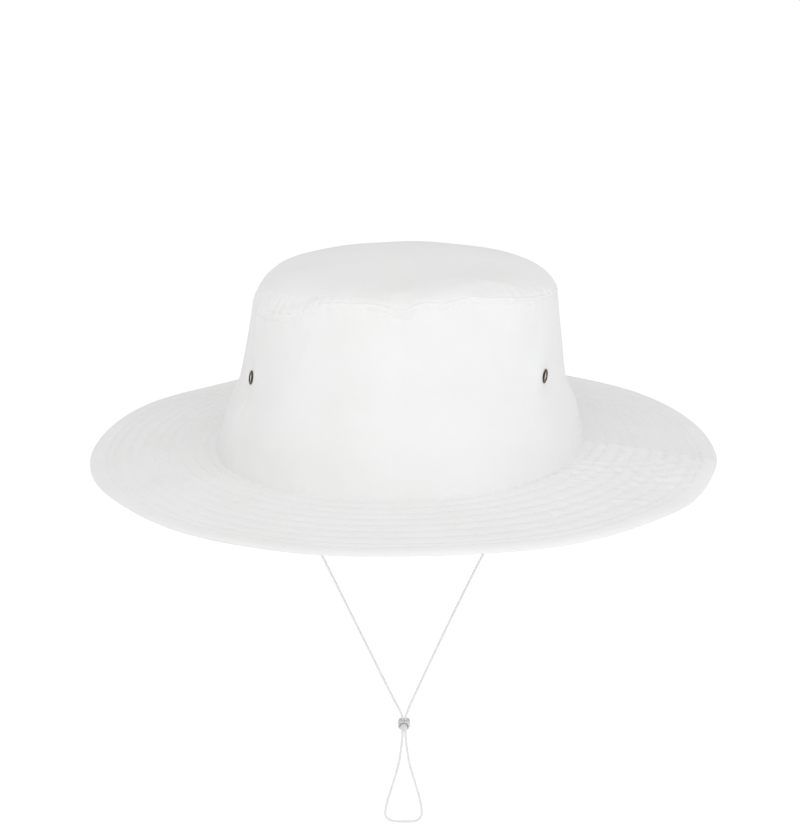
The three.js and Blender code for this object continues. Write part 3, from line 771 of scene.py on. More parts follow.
def brim_point(turn, inset, upper=True):
    """Either face of the brim with its quilting along the normal. Both faces draw together to the
    middle of the thickness on a quarter round at the edge."""
    brim = bpy.context.scene.hat_brim
    face = brim_face(turn, inset)
    normal = brim_normal(turn, inset)
    way = np.clip((ROUND_IN - inset) / (ROUND_IN + brim.hem_round), 0, 1)
    half = 0.5 * brim_thickness(inset)
    relief = quilting(turn, inset, 71 if upper else 171)
    relief += HEM_HEIGHT * np.exp(-((inset / (0.7 * brim.hem_row)) ** 4))
    height = half * np.sqrt(1 - way**2) + relief * (1 - way) ** 2
    middle = face - normal * half[..., None]
    return middle + normal * (height if upper else -height)[..., None]


# Meshes

# Columns of the grids round the crown and the brim.
CROWN_COLUMNS = 720
BRIM_COLUMNS = 880


def even_turns(count):
    """Turns of a grid's columns, in degrees."""
    return np.arange(count) * 360 / count


def even_angles(count):
    """Angles of a ring's points, in radians."""
    return np.arange(count) * 2 * math.pi / count


def spaced(*stops):
    """Row places from stops of (place, rows up to it): evenly spaced within each stretch."""
    places = [np.array([stops[0][0]])]
    for (start, _), (end, count) in zip(stops, stops[1:]):
        places.append(np.linspace(start, end, count + 1)[1:])
    return np.concatenate(places)


def grid(rows, turns):
    """Places of the rows and of the columns spread over a grid, rows first."""
    return np.meshgrid(rows, turns, indexing="ij")


def add_piece(name, points, faces, material, cloth_uv=None, hem=None):
    """A mesh object from arrays of points and faces, smooth, with its place in its mesh. hem says how far
    each point takes the turned hem's paleness: partly its double cloth, partly painted light strongest at
    the front right."""
    mesh = bpy.data.meshes.new(name)
    mesh.from_pydata(points.tolist(), [], faces)
    if cloth_uv is not None:
        layer = mesh.uv_layers.new(name="cloth")
        layer.data.foreach_set("uv", np.asarray(cloth_uv, np.float32).ravel())
    if hem is not None:
        shares = mesh.attributes.new("hem", "FLOAT", "POINT")
        shares.data.foreach_set("value", hem.astype(np.float32).ravel())
    mesh.shade_smooth()
    mesh.materials.append(material)
    mesh.update()
    piece = bpy.data.objects.new(name, mesh)
    bpy.context.scene.collection.objects.link(piece)
    return piece


def quads_between(first, second, around):
    """Quads between two rings given by the number of their first point."""
    j = np.arange(around)
    k = (j + 1) % around
    return np.stack([first + j, first + k, second + k, second + j], axis=-1)


def fan(pole, first, around):
    """Triangles from a pole to the ring that starts at the point numbered first."""
    j = np.arange(around)
    return np.stack([np.full(around, pole), first + (j + 1) % around, first + j], axis=-1)


def flipped(faces):
    """The same faces, facing the other way."""
    return [face[::-1] for face in faces]


def shell(rings, poles=None, split=None):
    """Points and faces of a closed skin. rings is rings x around x 3, and every ring joins the
    next and the last joins the first. With poles, the skin is two discs sewn at their rims: the
    rings up to split end in the first pole, and the others start from the second."""
    count, around = rings.shape[:2]
    points = rings.reshape(-1, 3)
    starts = np.arange(count) * around
    pairs = [(i, (i + 1) % count) for i in range(count) if poles is None or i != split - 1]
    faces = np.concatenate([quads_between(starts[a], starts[b], around) for a, b in pairs]).tolist()
    if poles is not None:
        points = np.vstack([points, poles])
        pole = count * around
        faces += flipped(fan(pole, starts[split - 1], around).tolist())
        faces += fan(pole + 1, starts[split], around).tolist()
    return points, faces


def capped_tube(rings, poles):
    """Points and faces of a row of rings, each joined to the next, closed by a pole at each end."""
    count, around = rings.shape[:2]
    starts = np.arange(count) * around
    pole = count * around
    quads = np.concatenate([quads_between(first, first + around, around) for first in starts[:-1]])
    faces = quads.tolist() + fan(pole, 0, around).tolist()
    faces += flipped(fan(pole + 1, starts[-1], around).tolist())
    return np.vstack([rings.reshape(-1, 3), poles]), faces


def rings_about_y(radius, y, around):
    """Rings about the Y axis: the radius times the sine and cosine of the angle from the top."""
    angle = even_angles(around)
    radius = np.broadcast_to(radius, (len(y), around))
    y = np.broadcast_to(np.reshape(y, (-1, 1)), radius.shape)
    return np.stack([radius * np.sin(angle), y, radius * np.cos(angle)], axis=-1)


def flat_uv(points, faces):
    """Cloth coordinates of a piece cut flat: each corner's own x and y."""
    index = np.concatenate([np.asarray(face) for face in faces])
    return points[index, :2]


def round_uv(faces, radius, points, around):
    """Cloth coordinates of a piece wrapped round the crown: the way round at a fixed radius, and
    the height. A face across the last column counts on past a full turn."""
    index = np.array(faces)
    column = index % around
    column = np.where((column == 0) & (column.max(axis=1, keepdims=True) == around - 1), around, column)
    u = column * (2 * math.pi * radius / around)
    return np.stack([u, points[index, 2]], axis=-1).reshape(-1, 2)


def finish_piece(piece, body, slot, *nodes):
    """Body that the piece moves with, slot of its finish, which is not used, and CAD nodes that it stands
    for.
    """
    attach(piece, body)
    if nodes:
        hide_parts(*nodes)
    return piece


# Materials


class Nodes:
    """Short way to write a material's or a world's nodes: each call adds one and links what it is
    given."""

    def __init__(self, owner, shader="Principled BSDF"):
        owner.use_nodes = True
        self.owner = owner
        self.tree = owner.node_tree
        self.shader = self.tree.nodes[shader]

    def add(self, kind, inputs=None, **settings):
        """A new node with its settings, and its inputs by name or number."""
        node = self.tree.nodes.new("ShaderNode" + kind)
        for key, value in settings.items():
            setattr(node, key, value)
        for key, value in (inputs or {}).items():
            self.set(node, key, value)
        return node

    def set(self, node, key, value):
        """Link an input to an output, or give it a value."""
        if isinstance(value, bpy.types.NodeSocket):
            self.tree.links.new(value, node.inputs[key])
        else:
            node.inputs[key].default_value = value

    def place(self):
        """Object coordinates."""
        return self.add("TexCoord").outputs["Object"]

    def math(self, operation, *values):
        """Result of a sum on one to three values."""
        return self.add("Math", dict(enumerate(values)), operation=operation).outputs[0]

    def weighted(self, first, share, second, other):
        """Sum of two values, each times its share."""
        return self.math("ADD", self.math("MULTIPLY", first, share), self.math("MULTIPLY", second, other))

    def noise(self, vector, scale, detail=2.0, roughness=0.5):
        """Noise with this many waves to a metre."""
        inputs = {"Vector": vector, "Scale": scale, "Detail": detail, "Roughness": roughness}
        return self.add("TexNoise", inputs).outputs["Fac"]

    def stretched(self, vector, scale):
        """Vector scaled by its own factor along each axis."""
        return self.add("Mapping", {"Vector": vector, "Scale": scale}).outputs["Vector"]

    def ramp(self, value, low, high, colour_low, colour_high):
        """Colour that runs from one to another as value goes from low to high."""
        node = self.add("ValToRGB", {"Fac": value})
        ends = node.color_ramp.elements
        ends[0].position, ends[1].position = low, high
        ends[0].color, ends[1].color = (*colour_low, 1), (*colour_high, 1)
        return node.outputs["Color"]

    def bump(self, height, strength, distance):
        """Normal bent by a height."""
        inputs = {"Height": height, "Strength": strength, "Distance": distance}
        return self.add("Bump", inputs).outputs["Normal"]

    def shade(self, **inputs):
        """Give the shader its inputs, and hand back the material or world."""
        for key, value in inputs.items():
            self.set(self.shader, key.replace("_", " "), value)
        return self.owner


def tinted(base, factor, warm=0.0):
    """A colour made darker or lighter by a factor, and warmer or cooler by a step."""
    return tuple(min(1.0, c * factor + warm * step) for c, step in zip(base, (1, 0.2, -1)))


def woven_cloth(name, base, thread=0.42 * MM, hem=0.0):
    """Plain weave on the piece's cloth coordinates: over and under as the product of two sines, with
    thick and thin yarns, faint slubs and slow cloudy tone. hem is how much paler the turned hem is
    painted: partly its double cloth, partly painted light."""
    n = Nodes(bpy.data.materials.new(name))
    cloth = n.add("UVMap", uv_map="cloth").outputs["UV"]
    place = n.place()
    axes = n.add("SeparateXYZ", {"Vector": cloth})
    turns = 2 * math.pi / thread
    warp = n.math("SINE", n.math("MULTIPLY", axes.outputs["X"], turns))
    weft = n.math("SINE", n.math("MULTIPLY", axes.outputs["Y"], turns))
    weave = n.math("MULTIPLY", warp, weft)
    along = n.noise(n.stretched(cloth, (90, 2600, 1)), 1.0)
    across = n.noise(n.stretched(cloth, (2600, 90, 1)), 1.0)
    slubs = n.math("ADD", along, across)
    fibre = n.noise(place, 5200.0, 3.0, 0.7)
    height = n.math("ADD", n.weighted(weave, 0.3, slubs, 0.55), n.math("MULTIPLY", fibre, 0.25))
    tone = n.weighted(n.noise(place, 28.0, 4.0, 0.6), 0.8, slubs, 0.12)
    shade = n.ramp(tone, 0.3, 0.75, tinted(base, 0.972, 0.004), tinted(base, 1.02, -0.002))
    # Paler hem: partly its double cloth, partly painted light.
    if hem:
        share = n.add("Attribute", attribute_name="hem").outputs["Fac"]
        value = n.math("ADD", n.math("MULTIPLY", share, hem), 1.0)
        shade = n.add("HueSaturation", {"Color": shade, "Value": value}).outputs["Color"]
    rough = n.math("ADD", n.math("MULTIPLY", fibre, 0.12), 0.84)
    return n.shade(
        Base_Color=shade,
        Roughness=rough,
        Normal=n.bump(height, 0.35, 0.12 * MM),
        Sheen_Weight=0.25,
        Sheen_Roughness=0.55,
        IOR=1.45,
        Specular_IOR_Level=0.3,
    )


def spun_thread(name, base, twist, fuzz):
    """Twisted yarn: a fine slanting band, twist to a metre, and fibres as bump, with a sheen."""
    n = Nodes(bpy.data.materials.new(name))
    place = n.place()
    fibre = n.noise(place, 9000.0, 3.0, 0.65)
    band = n.add(
        "TexWave",
        {"Vector": place, "Scale": twist, "Distortion": 1.5, "Detail": 1.0},
        wave_type="BANDS",
        bands_direction="DIAGONAL",
    ).outputs["Fac"]
    tone = n.noise(place, 420.0, 3.0, 0.6)
    height = n.weighted(fibre, 0.5, band, 0.5)
    return n.shade(
        Base_Color=n.ramp(tone, 0.3, 0.7, tinted(base, 0.95, 0.003), tinted(base, 1.03)),
        Roughness=n.math("ADD", n.math("MULTIPLY", fibre, 0.2), 0.7),
        Normal=n.bump(height, 0.4, 0.06 * MM),
        Sheen_Weight=fuzz,
        Sheen_Roughness=0.4,
    )


def plated_metal(name, base, worn, metallic):
    """Dark plating, satin and cloudy, rubbed to bare metal in fine scuffs."""
    n = Nodes(bpy.data.materials.new(name))
    place = n.place()
    cloud = n.noise(place, 700.0, 4.0, 0.65)
    scuff = n.noise(n.stretched(place, (1, 1, 0.25)), 2600.0, 5.0, 0.75)
    mix = n.math("MULTIPLY", cloud, scuff)
    return n.shade(
        Base_Color=n.ramp(mix, 0.2, 0.42, base, worn),
        Metallic=metallic,
        Roughness=n.math("ADD", n.math("MULTIPLY", cloud, 0.25), 0.2),
        Normal=n.bump(scuff, 0.15, 0.04 * MM),
    )


def moulded_plastic(name, base):
    """Satin moulded plastic with a faint orange peel, cloudy tone and fine scratches."""
    n = Nodes(bpy.data.materials.new(name))
    place = n.place()
    peel = n.noise(place, 3200.0, 2.0, 0.5)
    cloud = n.noise(place, 380.0, 4.0, 0.6)
    scratch = n.noise(n.stretched(place, (1, 1, 7)), 1400.0, 4.0, 0.7)
    height = n.weighted(peel, 0.7, scratch, 0.3)
    return n.shade(
        Base_Color=n.ramp(cloud, 0.3, 0.7, tinted(base, 0.94), tinted(base, 1.04)),
        Roughness=n.math("ADD", n.math("MULTIPLY", scratch, 0.25), 0.28),
        Normal=n.bump(height, 0.12, 0.05 * MM),
        Subsurface_Weight=0.15,
        Subsurface_Scale=0.6 * MM,
        Coat_Weight=0.15,
        Coat_Roughness=0.3,
    )


def floor_paper(name, base, glow):
    """Pale paper floor, matt, with hardly visible mottling, and a little light of its own."""
    n = Nodes(bpy.data.materials.new(name))
    place = n.place()
    mottle = n.noise(place, 6.0, 3.0, 0.5)
    return n.shade(
        Base_Color=n.ramp(mottle, 0.3, 0.7, tinted(base, 0.995), base),
        Roughness=0.9,
        Specular_IOR_Level=0.1,
        Emission_Color=(1, 1, 1, 1),
        Emission_Strength=glow,
    )


MATERIALS = {
    "crown cotton": lambda name, c: woven_cloth(name, c.cloth),
    # The brim's hem is painted paler: partly its double cloth, partly painted light strongest at the
    # front right.
    "brim cotton": lambda name, c: woven_cloth(name, tinted(c.cloth, 0.99), hem=0.045),
    "sewing thread": lambda name, c: spun_thread(name, c.thread, 1900.0, 0.3),
    "cotton tape": lambda name, c: woven_cloth(name, c.tape, 0.6 * MM),
    "cord yarn": lambda name, c: spun_thread(name, c.cord, 1500.0, 0.2),
    "dark plating": lambda name, c: plated_metal(name, c.metal, c.worn, 0.95),
    # Painted light: one pale colour inside the barrel, standing in for light seen in the bore.
    "rubbed metal": lambda name, c: plated_metal(name, c.bore_painted_light, c.bore_painted_light, 0.3),
    "grey plastic": lambda name, c: moulded_plastic(name, c.lock),
    "pale plastic": lambda name, c: moulded_plastic(name, c.button),
}


def named_material(name):
    """One of the hat's materials, made the first time that it is asked for."""
    found = bpy.data.materials.get(name)
    return found or MATERIALS[name](name, bpy.context.scene.hat_colours)


# Operators


class HAT_OT_stage(bpy.types.Operator):
    """Camera, soft studio light and a pale floor"""

    bl_idname = "hat.stage"
    bl_label = "Stage"

    def execute(self, context):
        studio = context.scene.hat_studio
        self.camera(context, studio)
        self.floor(context, studio)
        self.lights(context, studio)
        return {"FINISHED"}

    def camera(self, context, studio):
        """Camera at its azimuth, elevation and distance, stepped sideways and up."""
        a = math.radians(studio.azimuth)
        e = math.radians(studio.elevation)
        right = Vector((math.cos(a), math.sin(a), 0))
        back = Vector((math.sin(a) * math.cos(e), -math.cos(a) * math.cos(e), math.sin(e)))
        up = back.cross(right)
        data = bpy.data.cameras.new("photo camera")
        data.lens = studio.lens
        data.clip_end = 50
        camera = bpy.data.objects.new("photo camera", data)
        place = back * studio.distance + right * studio.frame_right + up * studio.frame_up
        camera.matrix_world = Matrix.Translation(place) @ Matrix((right, up, back)).transposed().to_4x4()
        context.scene.collection.objects.link(camera)
        context.scene.camera = camera

    def floor(self, context, studio):
        """Level square floor of 24 by 24 faces, 24 m wide."""
        lines = 25
        x, y = grid(np.linspace(-12, 12, lines), np.linspace(-12, 12, lines))
        points = np.stack([x, y, np.full_like(x, -studio.floor_drop)], axis=-1)
        first = np.arange(x.size).reshape(x.shape)[:-1, :-1].ravel()
        faces = np.stack([first, first + lines, first + lines + 1, first + 1], axis=-1)
        paper = floor_paper("pale floor", context.scene.hat_colours.floor, studio.glow)
        floor = add_piece("floor", points.reshape(-1, 3), faces.tolist(), paper)

    def lights(self, context, studio):
        """White surroundings, stronger from the front and from above by the cosine of the angle,
        and two soft lights."""
        scene = context.scene
        scene.view_settings.view_transform = "Standard"
        n = Nodes(bpy.data.worlds.new("white surroundings"), "Background")
        direction = n.add("TexCoord").outputs["Generated"]
        total = studio.sky
        for axis, strength in (((0, -1, 0), studio.sky_front), ((0, 0, 1), studio.sky_top)):
            dot = n.add("VectorMath", {0: direction, 1: axis}, operation="DOT_PRODUCT").outputs["Value"]
            total = n.math("MULTIPLY_ADD", n.math("MAXIMUM", dot, 0), strength, total)
        scene.world = n.shade(Color=(1, 1, 1, 1), Strength=total)
        self.softbox(scene, "key light", studio.key, Vector((-1.9, -1.7, 1.4)), (1, 0.995, 0.985))
        self.softbox(scene, "fill light", studio.fill, Vector((2.2, -1.8, 0.7)), (0.96, 0.98, 1))

    def softbox(self, scene, name, power, place, tint):
        """Square light, 2 m wide, that faces the origin."""
        data = bpy.data.lights.new(name, "AREA")
        data.energy = power
        data.size = 2.0
        data.color = tint
        light = bpy.data.objects.new(name, data)
        light.matrix_world = place.to_track_quat("Z", "Y").to_matrix().to_4x4()
        light.matrix_world.translation = place
        light.visible_camera = False
        scene.collection.objects.link(light)


def cord_line(step):
    """The cord's middle line: a centripetal Catmull-Rom curve through the route, walked in equal
    steps. Each stretch is a cubic whose end slopes come from the square roots of the distances."""
    trim = bpy.context.scene.hat_trim
    flat = np.array(CORD_ROUTE) * MM
    route = np.stack([flat[:, 0], np.full(len(flat), trim.cord_plane), flat[:, 1]], axis=-1)
    route = np.vstack([2 * route[0] - route[1], route, 2 * route[-1] - route[-2]])
    a, b, c, d = route[:-3], route[1:-2], route[2:-1], route[3:]
    pairs = ((a, b), (b, c), (c, d))
    g0, g1, g2 = (np.linalg.norm(q - p, axis=1, keepdims=True) ** 0.5 for p, q in pairs)
    start = ((b - a) / g0 - (c - a) / (g0 + g1) + (c - b) / g1) * g1
    end = ((c - b) / g1 - (d - b) / (g1 + g2) + (d - c) / g2) * g1
    f = np.linspace(0, 1, 40, endpoint=False)[None, :, None]
    b, c, start, end = (x[:, None] for x in (b, c, start, end))
    dense = b + start * f + (3 * (c - b) - 2 * start - end) * f**2 + (2 * (b - c) + start + end) * f**3
    dense = np.vstack([dense.reshape(-1, 3), route[-2]])
    way = np.r_[0, np.cumsum(np.linalg.norm(np.diff(dense, axis=0), axis=1))]
    even = np.linspace(0, way[-1], round(way[-1] / step) + 1)
    return np.stack([np.interp(even, way, dense[:, k]) for k in range(3)], axis=-1), way[-1]


class HAT_OT_chin_cord(bpy.types.Operator):
    """Twisted chin cord, one loop from tab to tab through its lock"""

    bl_idname = "hat.chin_cord"
    bl_label = "Chin cord"

    def execute(self, context):
        trim = context.scene.hat_trim
        line, total = cord_line(0.22 * MM)
        sides = 18
        # Outline of three strands: the far side of a small circle that sits off the middle.
        strand = 0.31 * trim.cord
        off = 0.5 * trim.cord - strand
        third = 2 * math.pi / 3
        along, angle = grid(np.linspace(0, total, len(line)), even_angles(sides))
        twist = 2 * math.pi * along / trim.cord_lay
        turn = (angle - twist + third / 2) % third - third / 2
        radius = off * np.cos(turn) + np.sqrt(strand**2 - (off * np.sin(turn)) ** 2)
        # Fine yarns run round each strand the other way.
        radius *= 1 + 0.035 * np.cos(9 * angle + 2.6 * twist)
        forward = np.gradient(line, axis=0)
        forward /= np.linalg.norm(forward, axis=1, keepdims=True)
        level = np.array([0, 1, 0])
        side = np.cross(level, forward)
        ring = np.cos(angle)[..., None] * side[:, None] + np.sin(angle)[..., None] * level
        points, faces = capped_tube(line[:, None] + radius[..., None] * ring, line[[0, -1]])
        cord = add_piece("chin_cord_twisted", points, flipped(faces), named_material("cord yarn"))
        finish_piece(cord, "hat", "cord", "chin_cord")
        return {"FINISHED"}


# Cord lock: half the distance between the two runs of the cord, room round the cord in its bores
# and in the button's slot, room round the button, the wall behind its slot, and how far it sits up.
CORD_ASIDE = 0.8 * MM
BORE_GAP = 0.2 * MM
SLOT_GAP = 0.3 * MM
BUTTON_GAP = 0.2 * MM
BUTTON_WALL = 0.8 * MM
BUTTON_LIFT = 0.45 * MM

# Half the length of the solids that cut the lock, which is more than it measures.
CUT_HALF = 8 * MM

# Outline of the lock's body and of its button, seen from the front: radius in millimetres at an
# angle from the top, the same on both sides.
LOCK_OUTLINE = columns("angle body button", [
    (0, 2.35, 1.6), (22, 2.95, 1.6), (45, 3.5, 1.7), (65, 3.45, 1.85), (95, 3.1, 2.0),
    (125, 2.8, 2.0), (155, 2.7, 1.95), (180, 2.95, 1.85),
])


# Points round the lock's outline.
LOCK_SIDES = 72


def lock_ring(angle, column):
    """Outline of body or button: the table's curve at the angle from the top, mirrored."""
    up = np.degrees(np.abs((angle + math.pi) % (2 * math.pi) - math.pi))
    return along_table(up, LOCK_OUTLINE["angle"], LOCK_OUTLINE[column]) * MM


def lock_block(column, front, back, rounding, bulge):
    """Closed block with a rounded front and back rim: rings of the outline, drawn in by the
    rounding's quarter circle at both ends, with a front that stands out by bulge."""
    outline = lock_ring(even_angles(LOCK_SIDES), column)
    quarter = np.linspace(0, math.pi / 2, 9)
    fill = np.linspace(0.15, 0.9, 6)
    # Rings run from front to back, so each one turns clockwise from the top to face outwards.
    rings = [(share * (outline - rounding), front - bulge * (1 - share**2)) for share in fill]
    rim = [(outline - rounding * (1 - np.sin(a)), rounding * (1 - np.cos(a))) for a in quarter]
    rings += [(radius, front + way) for radius, way in rim]
    rings += [(radius, back - way) for radius, way in rim[::-1]]
    rings += [(share * (outline - rounding), back) for share in fill[::-1]]
    radius, y = (np.array(part) for part in zip(*rings))
    return capped_tube(rings_about_y(radius, y, LOCK_SIDES), [(0, front - bulge, 0), (0, back, 0)])


def lathe(profile, around, column=None):
    """Closed solid turned about Y: profile is (radius, y) from the axis back to the axis. With a
    column of the lock's outline, each radius is added to that outline."""
    radius, y = np.array(profile).T
    outline = lock_ring(even_angles(around), column) if column else 0
    rings = rings_about_y(radius[1:-1, None] + outline, y[1:-1], around)
    return capped_tube(rings, [(0, y[0], 0), (0, y[-1], 0)])


def drill(radius, half, around):
    """Round bar along Y that cuts a hole."""
    return lathe([(0, -half), (radius, -half), (radius, half), (0, half)], around)


def box_solid(low, high):
    """Closed box between two corners."""
    x, y, z = np.meshgrid([0, 1], [0, 1], [0, 1], indexing="ij")
    share = np.stack([x, y, z], axis=-1).reshape(-1, 3)
    points = np.array(low) + share * (np.array(high) - np.array(low))
    faces = [(0, 1, 3, 2), (4, 6, 7, 5), (0, 4, 5, 1), (2, 3, 7, 6), (0, 2, 6, 4), (1, 5, 7, 3)]
    return points, faces


def cut_away(piece, cutters):
    """Piece with the cutters' solids taken out of it, as a plain mesh again."""
    for index, (points, faces) in enumerate(cutters):
        mesh = bpy.data.meshes.new(f"cutter {index}")
        mesh.from_pydata(points.tolist(), [], faces)
        cutter = bpy.data.objects.new(mesh.name, mesh)
        bpy.context.scene.collection.objects.link(cutter)
        cut = piece.modifiers.new(mesh.name, "BOOLEAN")
        cut.object = cutter
        cut.solver = "MANIFOLD"
        cut.operation = "DIFFERENCE"
    bpy.context.view_layer.update()
    ready = piece.evaluated_get(bpy.context.evaluated_depsgraph_get())
    result = bpy.data.meshes.new_from_object(ready)
    used = [cut.object for cut in piece.modifiers]
    piece.modifiers.clear()
    piece.data = result
    for cutter in used:
        bpy.data.objects.remove(cutter)


class HAT_OT_cord_lock(bpy.types.Operator):
    """Cord lock: a two-lobed body with two cord channels and a sprung push button"""

    bl_idname = "hat.cord_lock"
    bl_label = "Cord lock"

    def execute(self, context):
        trim = context.scene.hat_trim
        centre = np.array([trim.lock_x, trim.cord_plane, trim.lock_z])
        lift = np.array([0, 0, BUTTON_LIFT])
        front = -trim.lock_front
        slot = 0.5 * trim.cord + SLOT_GAP
        button_back = slot + BUTTON_WALL

        points, faces = lock_block("body", front, trim.lock_back, 1.5 * MM, 0.15 * MM)
        body = add_piece("cord_lock_body", points, faces, named_material("grey plastic"))
        wide = BUTTON_GAP + 0.6 * MM
        bottom = button_back + trim.button_travel + SLOT_GAP
        well, well_faces = lathe([
            (0, front - 2 * MM),
            (wide, front - 2 * MM),
            (wide, front + 0.1 * MM),
            (wide - 0.25 * MM, front + 0.4 * MM),
            (BUTTON_GAP, front + 0.6 * MM),
            (BUTTON_GAP, bottom),
            (0, bottom),
        ], LOCK_SIDES, "button")
        cut_away(body, [(well + lift, well_faces), self.bore(trim, -1), self.bore(trim, 1)])
        self.settle(body, centre)
        finish_piece(body, "hat", "lock_plastic", "toggle_body")

        button_front = front - trim.button_proud
        points, faces = lock_block("button", button_front, button_back, 0.5 * MM, 0.25 * MM)
        button = add_piece("cord_lock_button", points, faces, named_material("pale plastic"))
        side = CORD_ASIDE + slot
        near_corner = (-side, -slot - trim.button_travel, -CUT_HALF)
        cut_away(button, [box_solid(near_corner, (side, slot, CUT_HALF))])
        self.settle(button, centre + lift)
        finish_piece(button, "button", "button_plastic", "toggle_button")
        return {"FINISHED"}

    def bore(self, trim, side):
        """Upright hole for one run of the cord."""
        points, faces = drill(0.5 * trim.cord + BORE_GAP, CUT_HALF, 32)
        return points[:, [0, 2, 1]] + [side * CORD_ASIDE, 0, 0], flipped(faces)

    def settle(self, piece, place):
        """Smooth faces with crisp cut edges, and the piece's place put into its mesh."""
        piece.data.transform(Matrix.Translation(place))
        piece.data.shade_smooth()
        piece.data.set_sharp_from_angle(angle=math.radians(35))


class HAT_OT_crown_wall(bpy.types.Operator):
    """Upright cloth band of the crown with its folds, seams and eyelet holes"""

    bl_idname = "hat.crown_wall"
    bl_label = "Crown wall"

    def execute(self, context):
        crown = context.scene.hat_crown
        turns = even_turns(CROWN_COLUMNS)
        up, turn = grid(spaced((0, 0), (0.03, 7), (0.12, 9), (0.84, 44), (0.93, 14), (1, 20)), turns)
        outer = wall_point(turn, up)
        up, turn = grid(spaced((1, 0), (0.9, 4), (0.1, 20), (0, 4)), turns)
        inner = wall_tilted(turn, up) - crown.cloth * outward(turn)
        points, faces = shell(np.concatenate([outer, inner]))
        uv = round_uv(faces, crown.tip_half_width, points, len(turns))
        wall = add_piece("crown_wall", points, faces, named_material("crown cotton"), uv)
        cut_away(wall, [self.hole(at) for at in eyelet_turns().values()])
        wall.data.shade_smooth()
        wall.data.set_sharp_from_angle(angle=math.radians(50))
        finish_piece(wall, "hat", "crown_cloth", "crown_side")
        return {"FINISHED"}

    def hole(self, at):
        """Bar that cuts the cloth under the eyelet at a turn."""
        trim = bpy.context.scene.hat_trim
        points, faces = drill(trim.hole_radius, 5 * MM, 40)
        return seated(points, at, trim.eyelet_height), faces


def seated(points, at, height, inside=False):
    """Points moved from their own frame, where -Y faces out, onto the wall at a turn and height."""
    turn = np.array([float(at)])
    up = wall_up(turn, height)
    out = facing(wall_tilted, turn, up)[0]
    side = np.cross([0, 0, 1], out)
    side /= np.linalg.norm(side)
    axes = np.stack([side, -out, np.cross(out, side)])
    origin = wall_face(turn, up)[0]
    if inside:
        origin = origin - bpy.context.scene.hat_crown.cloth * outward(turn)[0]
    return points @ axes + origin


class HAT_OT_crown_tip(bpy.types.Operator):
    """Soft domed top of the crown with its puckered, topstitched seam"""

    bl_idname = "hat.crown_tip"
    bl_label = "Crown tip"

    def execute(self, context):
        crown = context.scene.hat_crown
        turns = even_turns(CROWN_COLUMNS)
        edge, last = 0.12, 0.98
        run, turn = grid(spaced((0, 0), (edge, 26), (0.25, 14), (0.5, 16), (last, 22)), turns)
        outer = tip_point(turn, run)
        run, turn = grid(spaced((last, 0), (edge, 10), (0, 4)), turns)
        share = np.clip(run / edge, 0, 1)[..., None]
        normal = outward(turn) * (1 - share) + facing(tip_face, turn, run) * share
        normal /= np.linalg.norm(normal, axis=-1, keepdims=True)
        inner = tip_face(turn, run) - crown.cloth * normal
        top = tip_face(np.zeros(1), np.ones(1))[0]
        poles = np.stack([top, top - [0, 0, crown.cloth]])
        rings = np.concatenate([outer, inner])
        points, faces = shell(rings, poles, len(outer))
        material = named_material("crown cotton")
        tip = add_piece("crown_tip_cloth", points, faces, material, flat_uv(points, faces))
        finish_piece(tip, "hat", "crown_cloth", "crown_tip")
        return {"FINISHED"}


class HAT_OT_brim(bpy.types.Operator):
    """Quilted brim of two cloth layers that meet in the turned edge"""

    bl_idname = "hat.brim"
    bl_label = "Brim"

    def execute(self, context):
        turns = even_turns(BRIM_COLUMNS)
        self.layer(turns, self.grid_insets(5), True, "brim_upper_cloth")
        self.layer(turns, self.grid_insets(4), False, "brim_under_cloth")
        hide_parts("brim")
        return {"FINISHED"}

    def grid_insets(self, lines):
        """Insets of the grid's rows, with this many close together on either side of each stitched
        row, up to the last stitched row and a little past it."""
        quarter = np.linspace(0, math.pi / 2, 7)
        edge = ROUND_IN - (ROUND_IN + bpy.context.scene.hat_brim.hem_round) * np.cos(quarter)
        rows = row_insets(np.zeros(1))[:, 0]
        beside = np.array([0.35, 0.8, 1.4, 2.2, 3.2])[:lines] * MM
        near_rows = np.concatenate([[row, *(row - beside), *(row + beside)] for row in rows])
        insets = np.unique(np.round(np.r_[edge, near_rows, 3 * MM, 5 * MM], 5))
        insets = insets[(np.diff(insets, append=1) > 0.25 * MM) | (insets < ROUND_IN)]
        return insets[insets < rows[-1] + 3.4 * MM]

    def layer(self, turns, insets, upper, name):
        """One cloth: its outer face from hem to seam, or seam to hem, and a plain face between
        the two cloths, a hair off the middle of the thickness. The face's last two rings lie
        between its last row and the seam, and on the seam."""
        brim = bpy.context.scene.hat_brim
        inner, outer = brim_radii(turns)
        width = outer - inner
        inset = np.vstack([grid(insets, turns)[0], 0.4 * width + 0.6 * insets[-1], width])
        turn = np.broadcast_to(turns, inset.shape)
        face = brim_point(turn, inset, upper)
        # Painted light: the hem's paleness is strongest at the front right, on top of its double cloth.
        hem = hem_paleness_and_painted_light(turn, inset)
        between, turn = grid(spaced((0, 0), (1, 5)), turns)
        between = -brim.hem_round + 0.02 * MM + between * (width + brim.hem_round)
        hair = 0.015 * MM if upper else -0.015 * MM
        deep = 0.5 * brim_thickness(between) - hair
        middle = brim_face(turn, between) - brim_normal(turn, between) * deep[..., None]
        hidden = np.zeros(between.shape)
        rings = np.concatenate([face, middle[::-1]] if upper else [middle, face[::-1]])
        hem = np.concatenate([hem, hidden] if upper else [hidden, hem[::-1]])
        points, faces = shell(rings)
        uv = flat_uv(points, faces)
        cloth = add_piece(name, points, faces, named_material("brim cotton"), uv, hem)
        finish_piece(cloth, "hat", "brim_cloth")


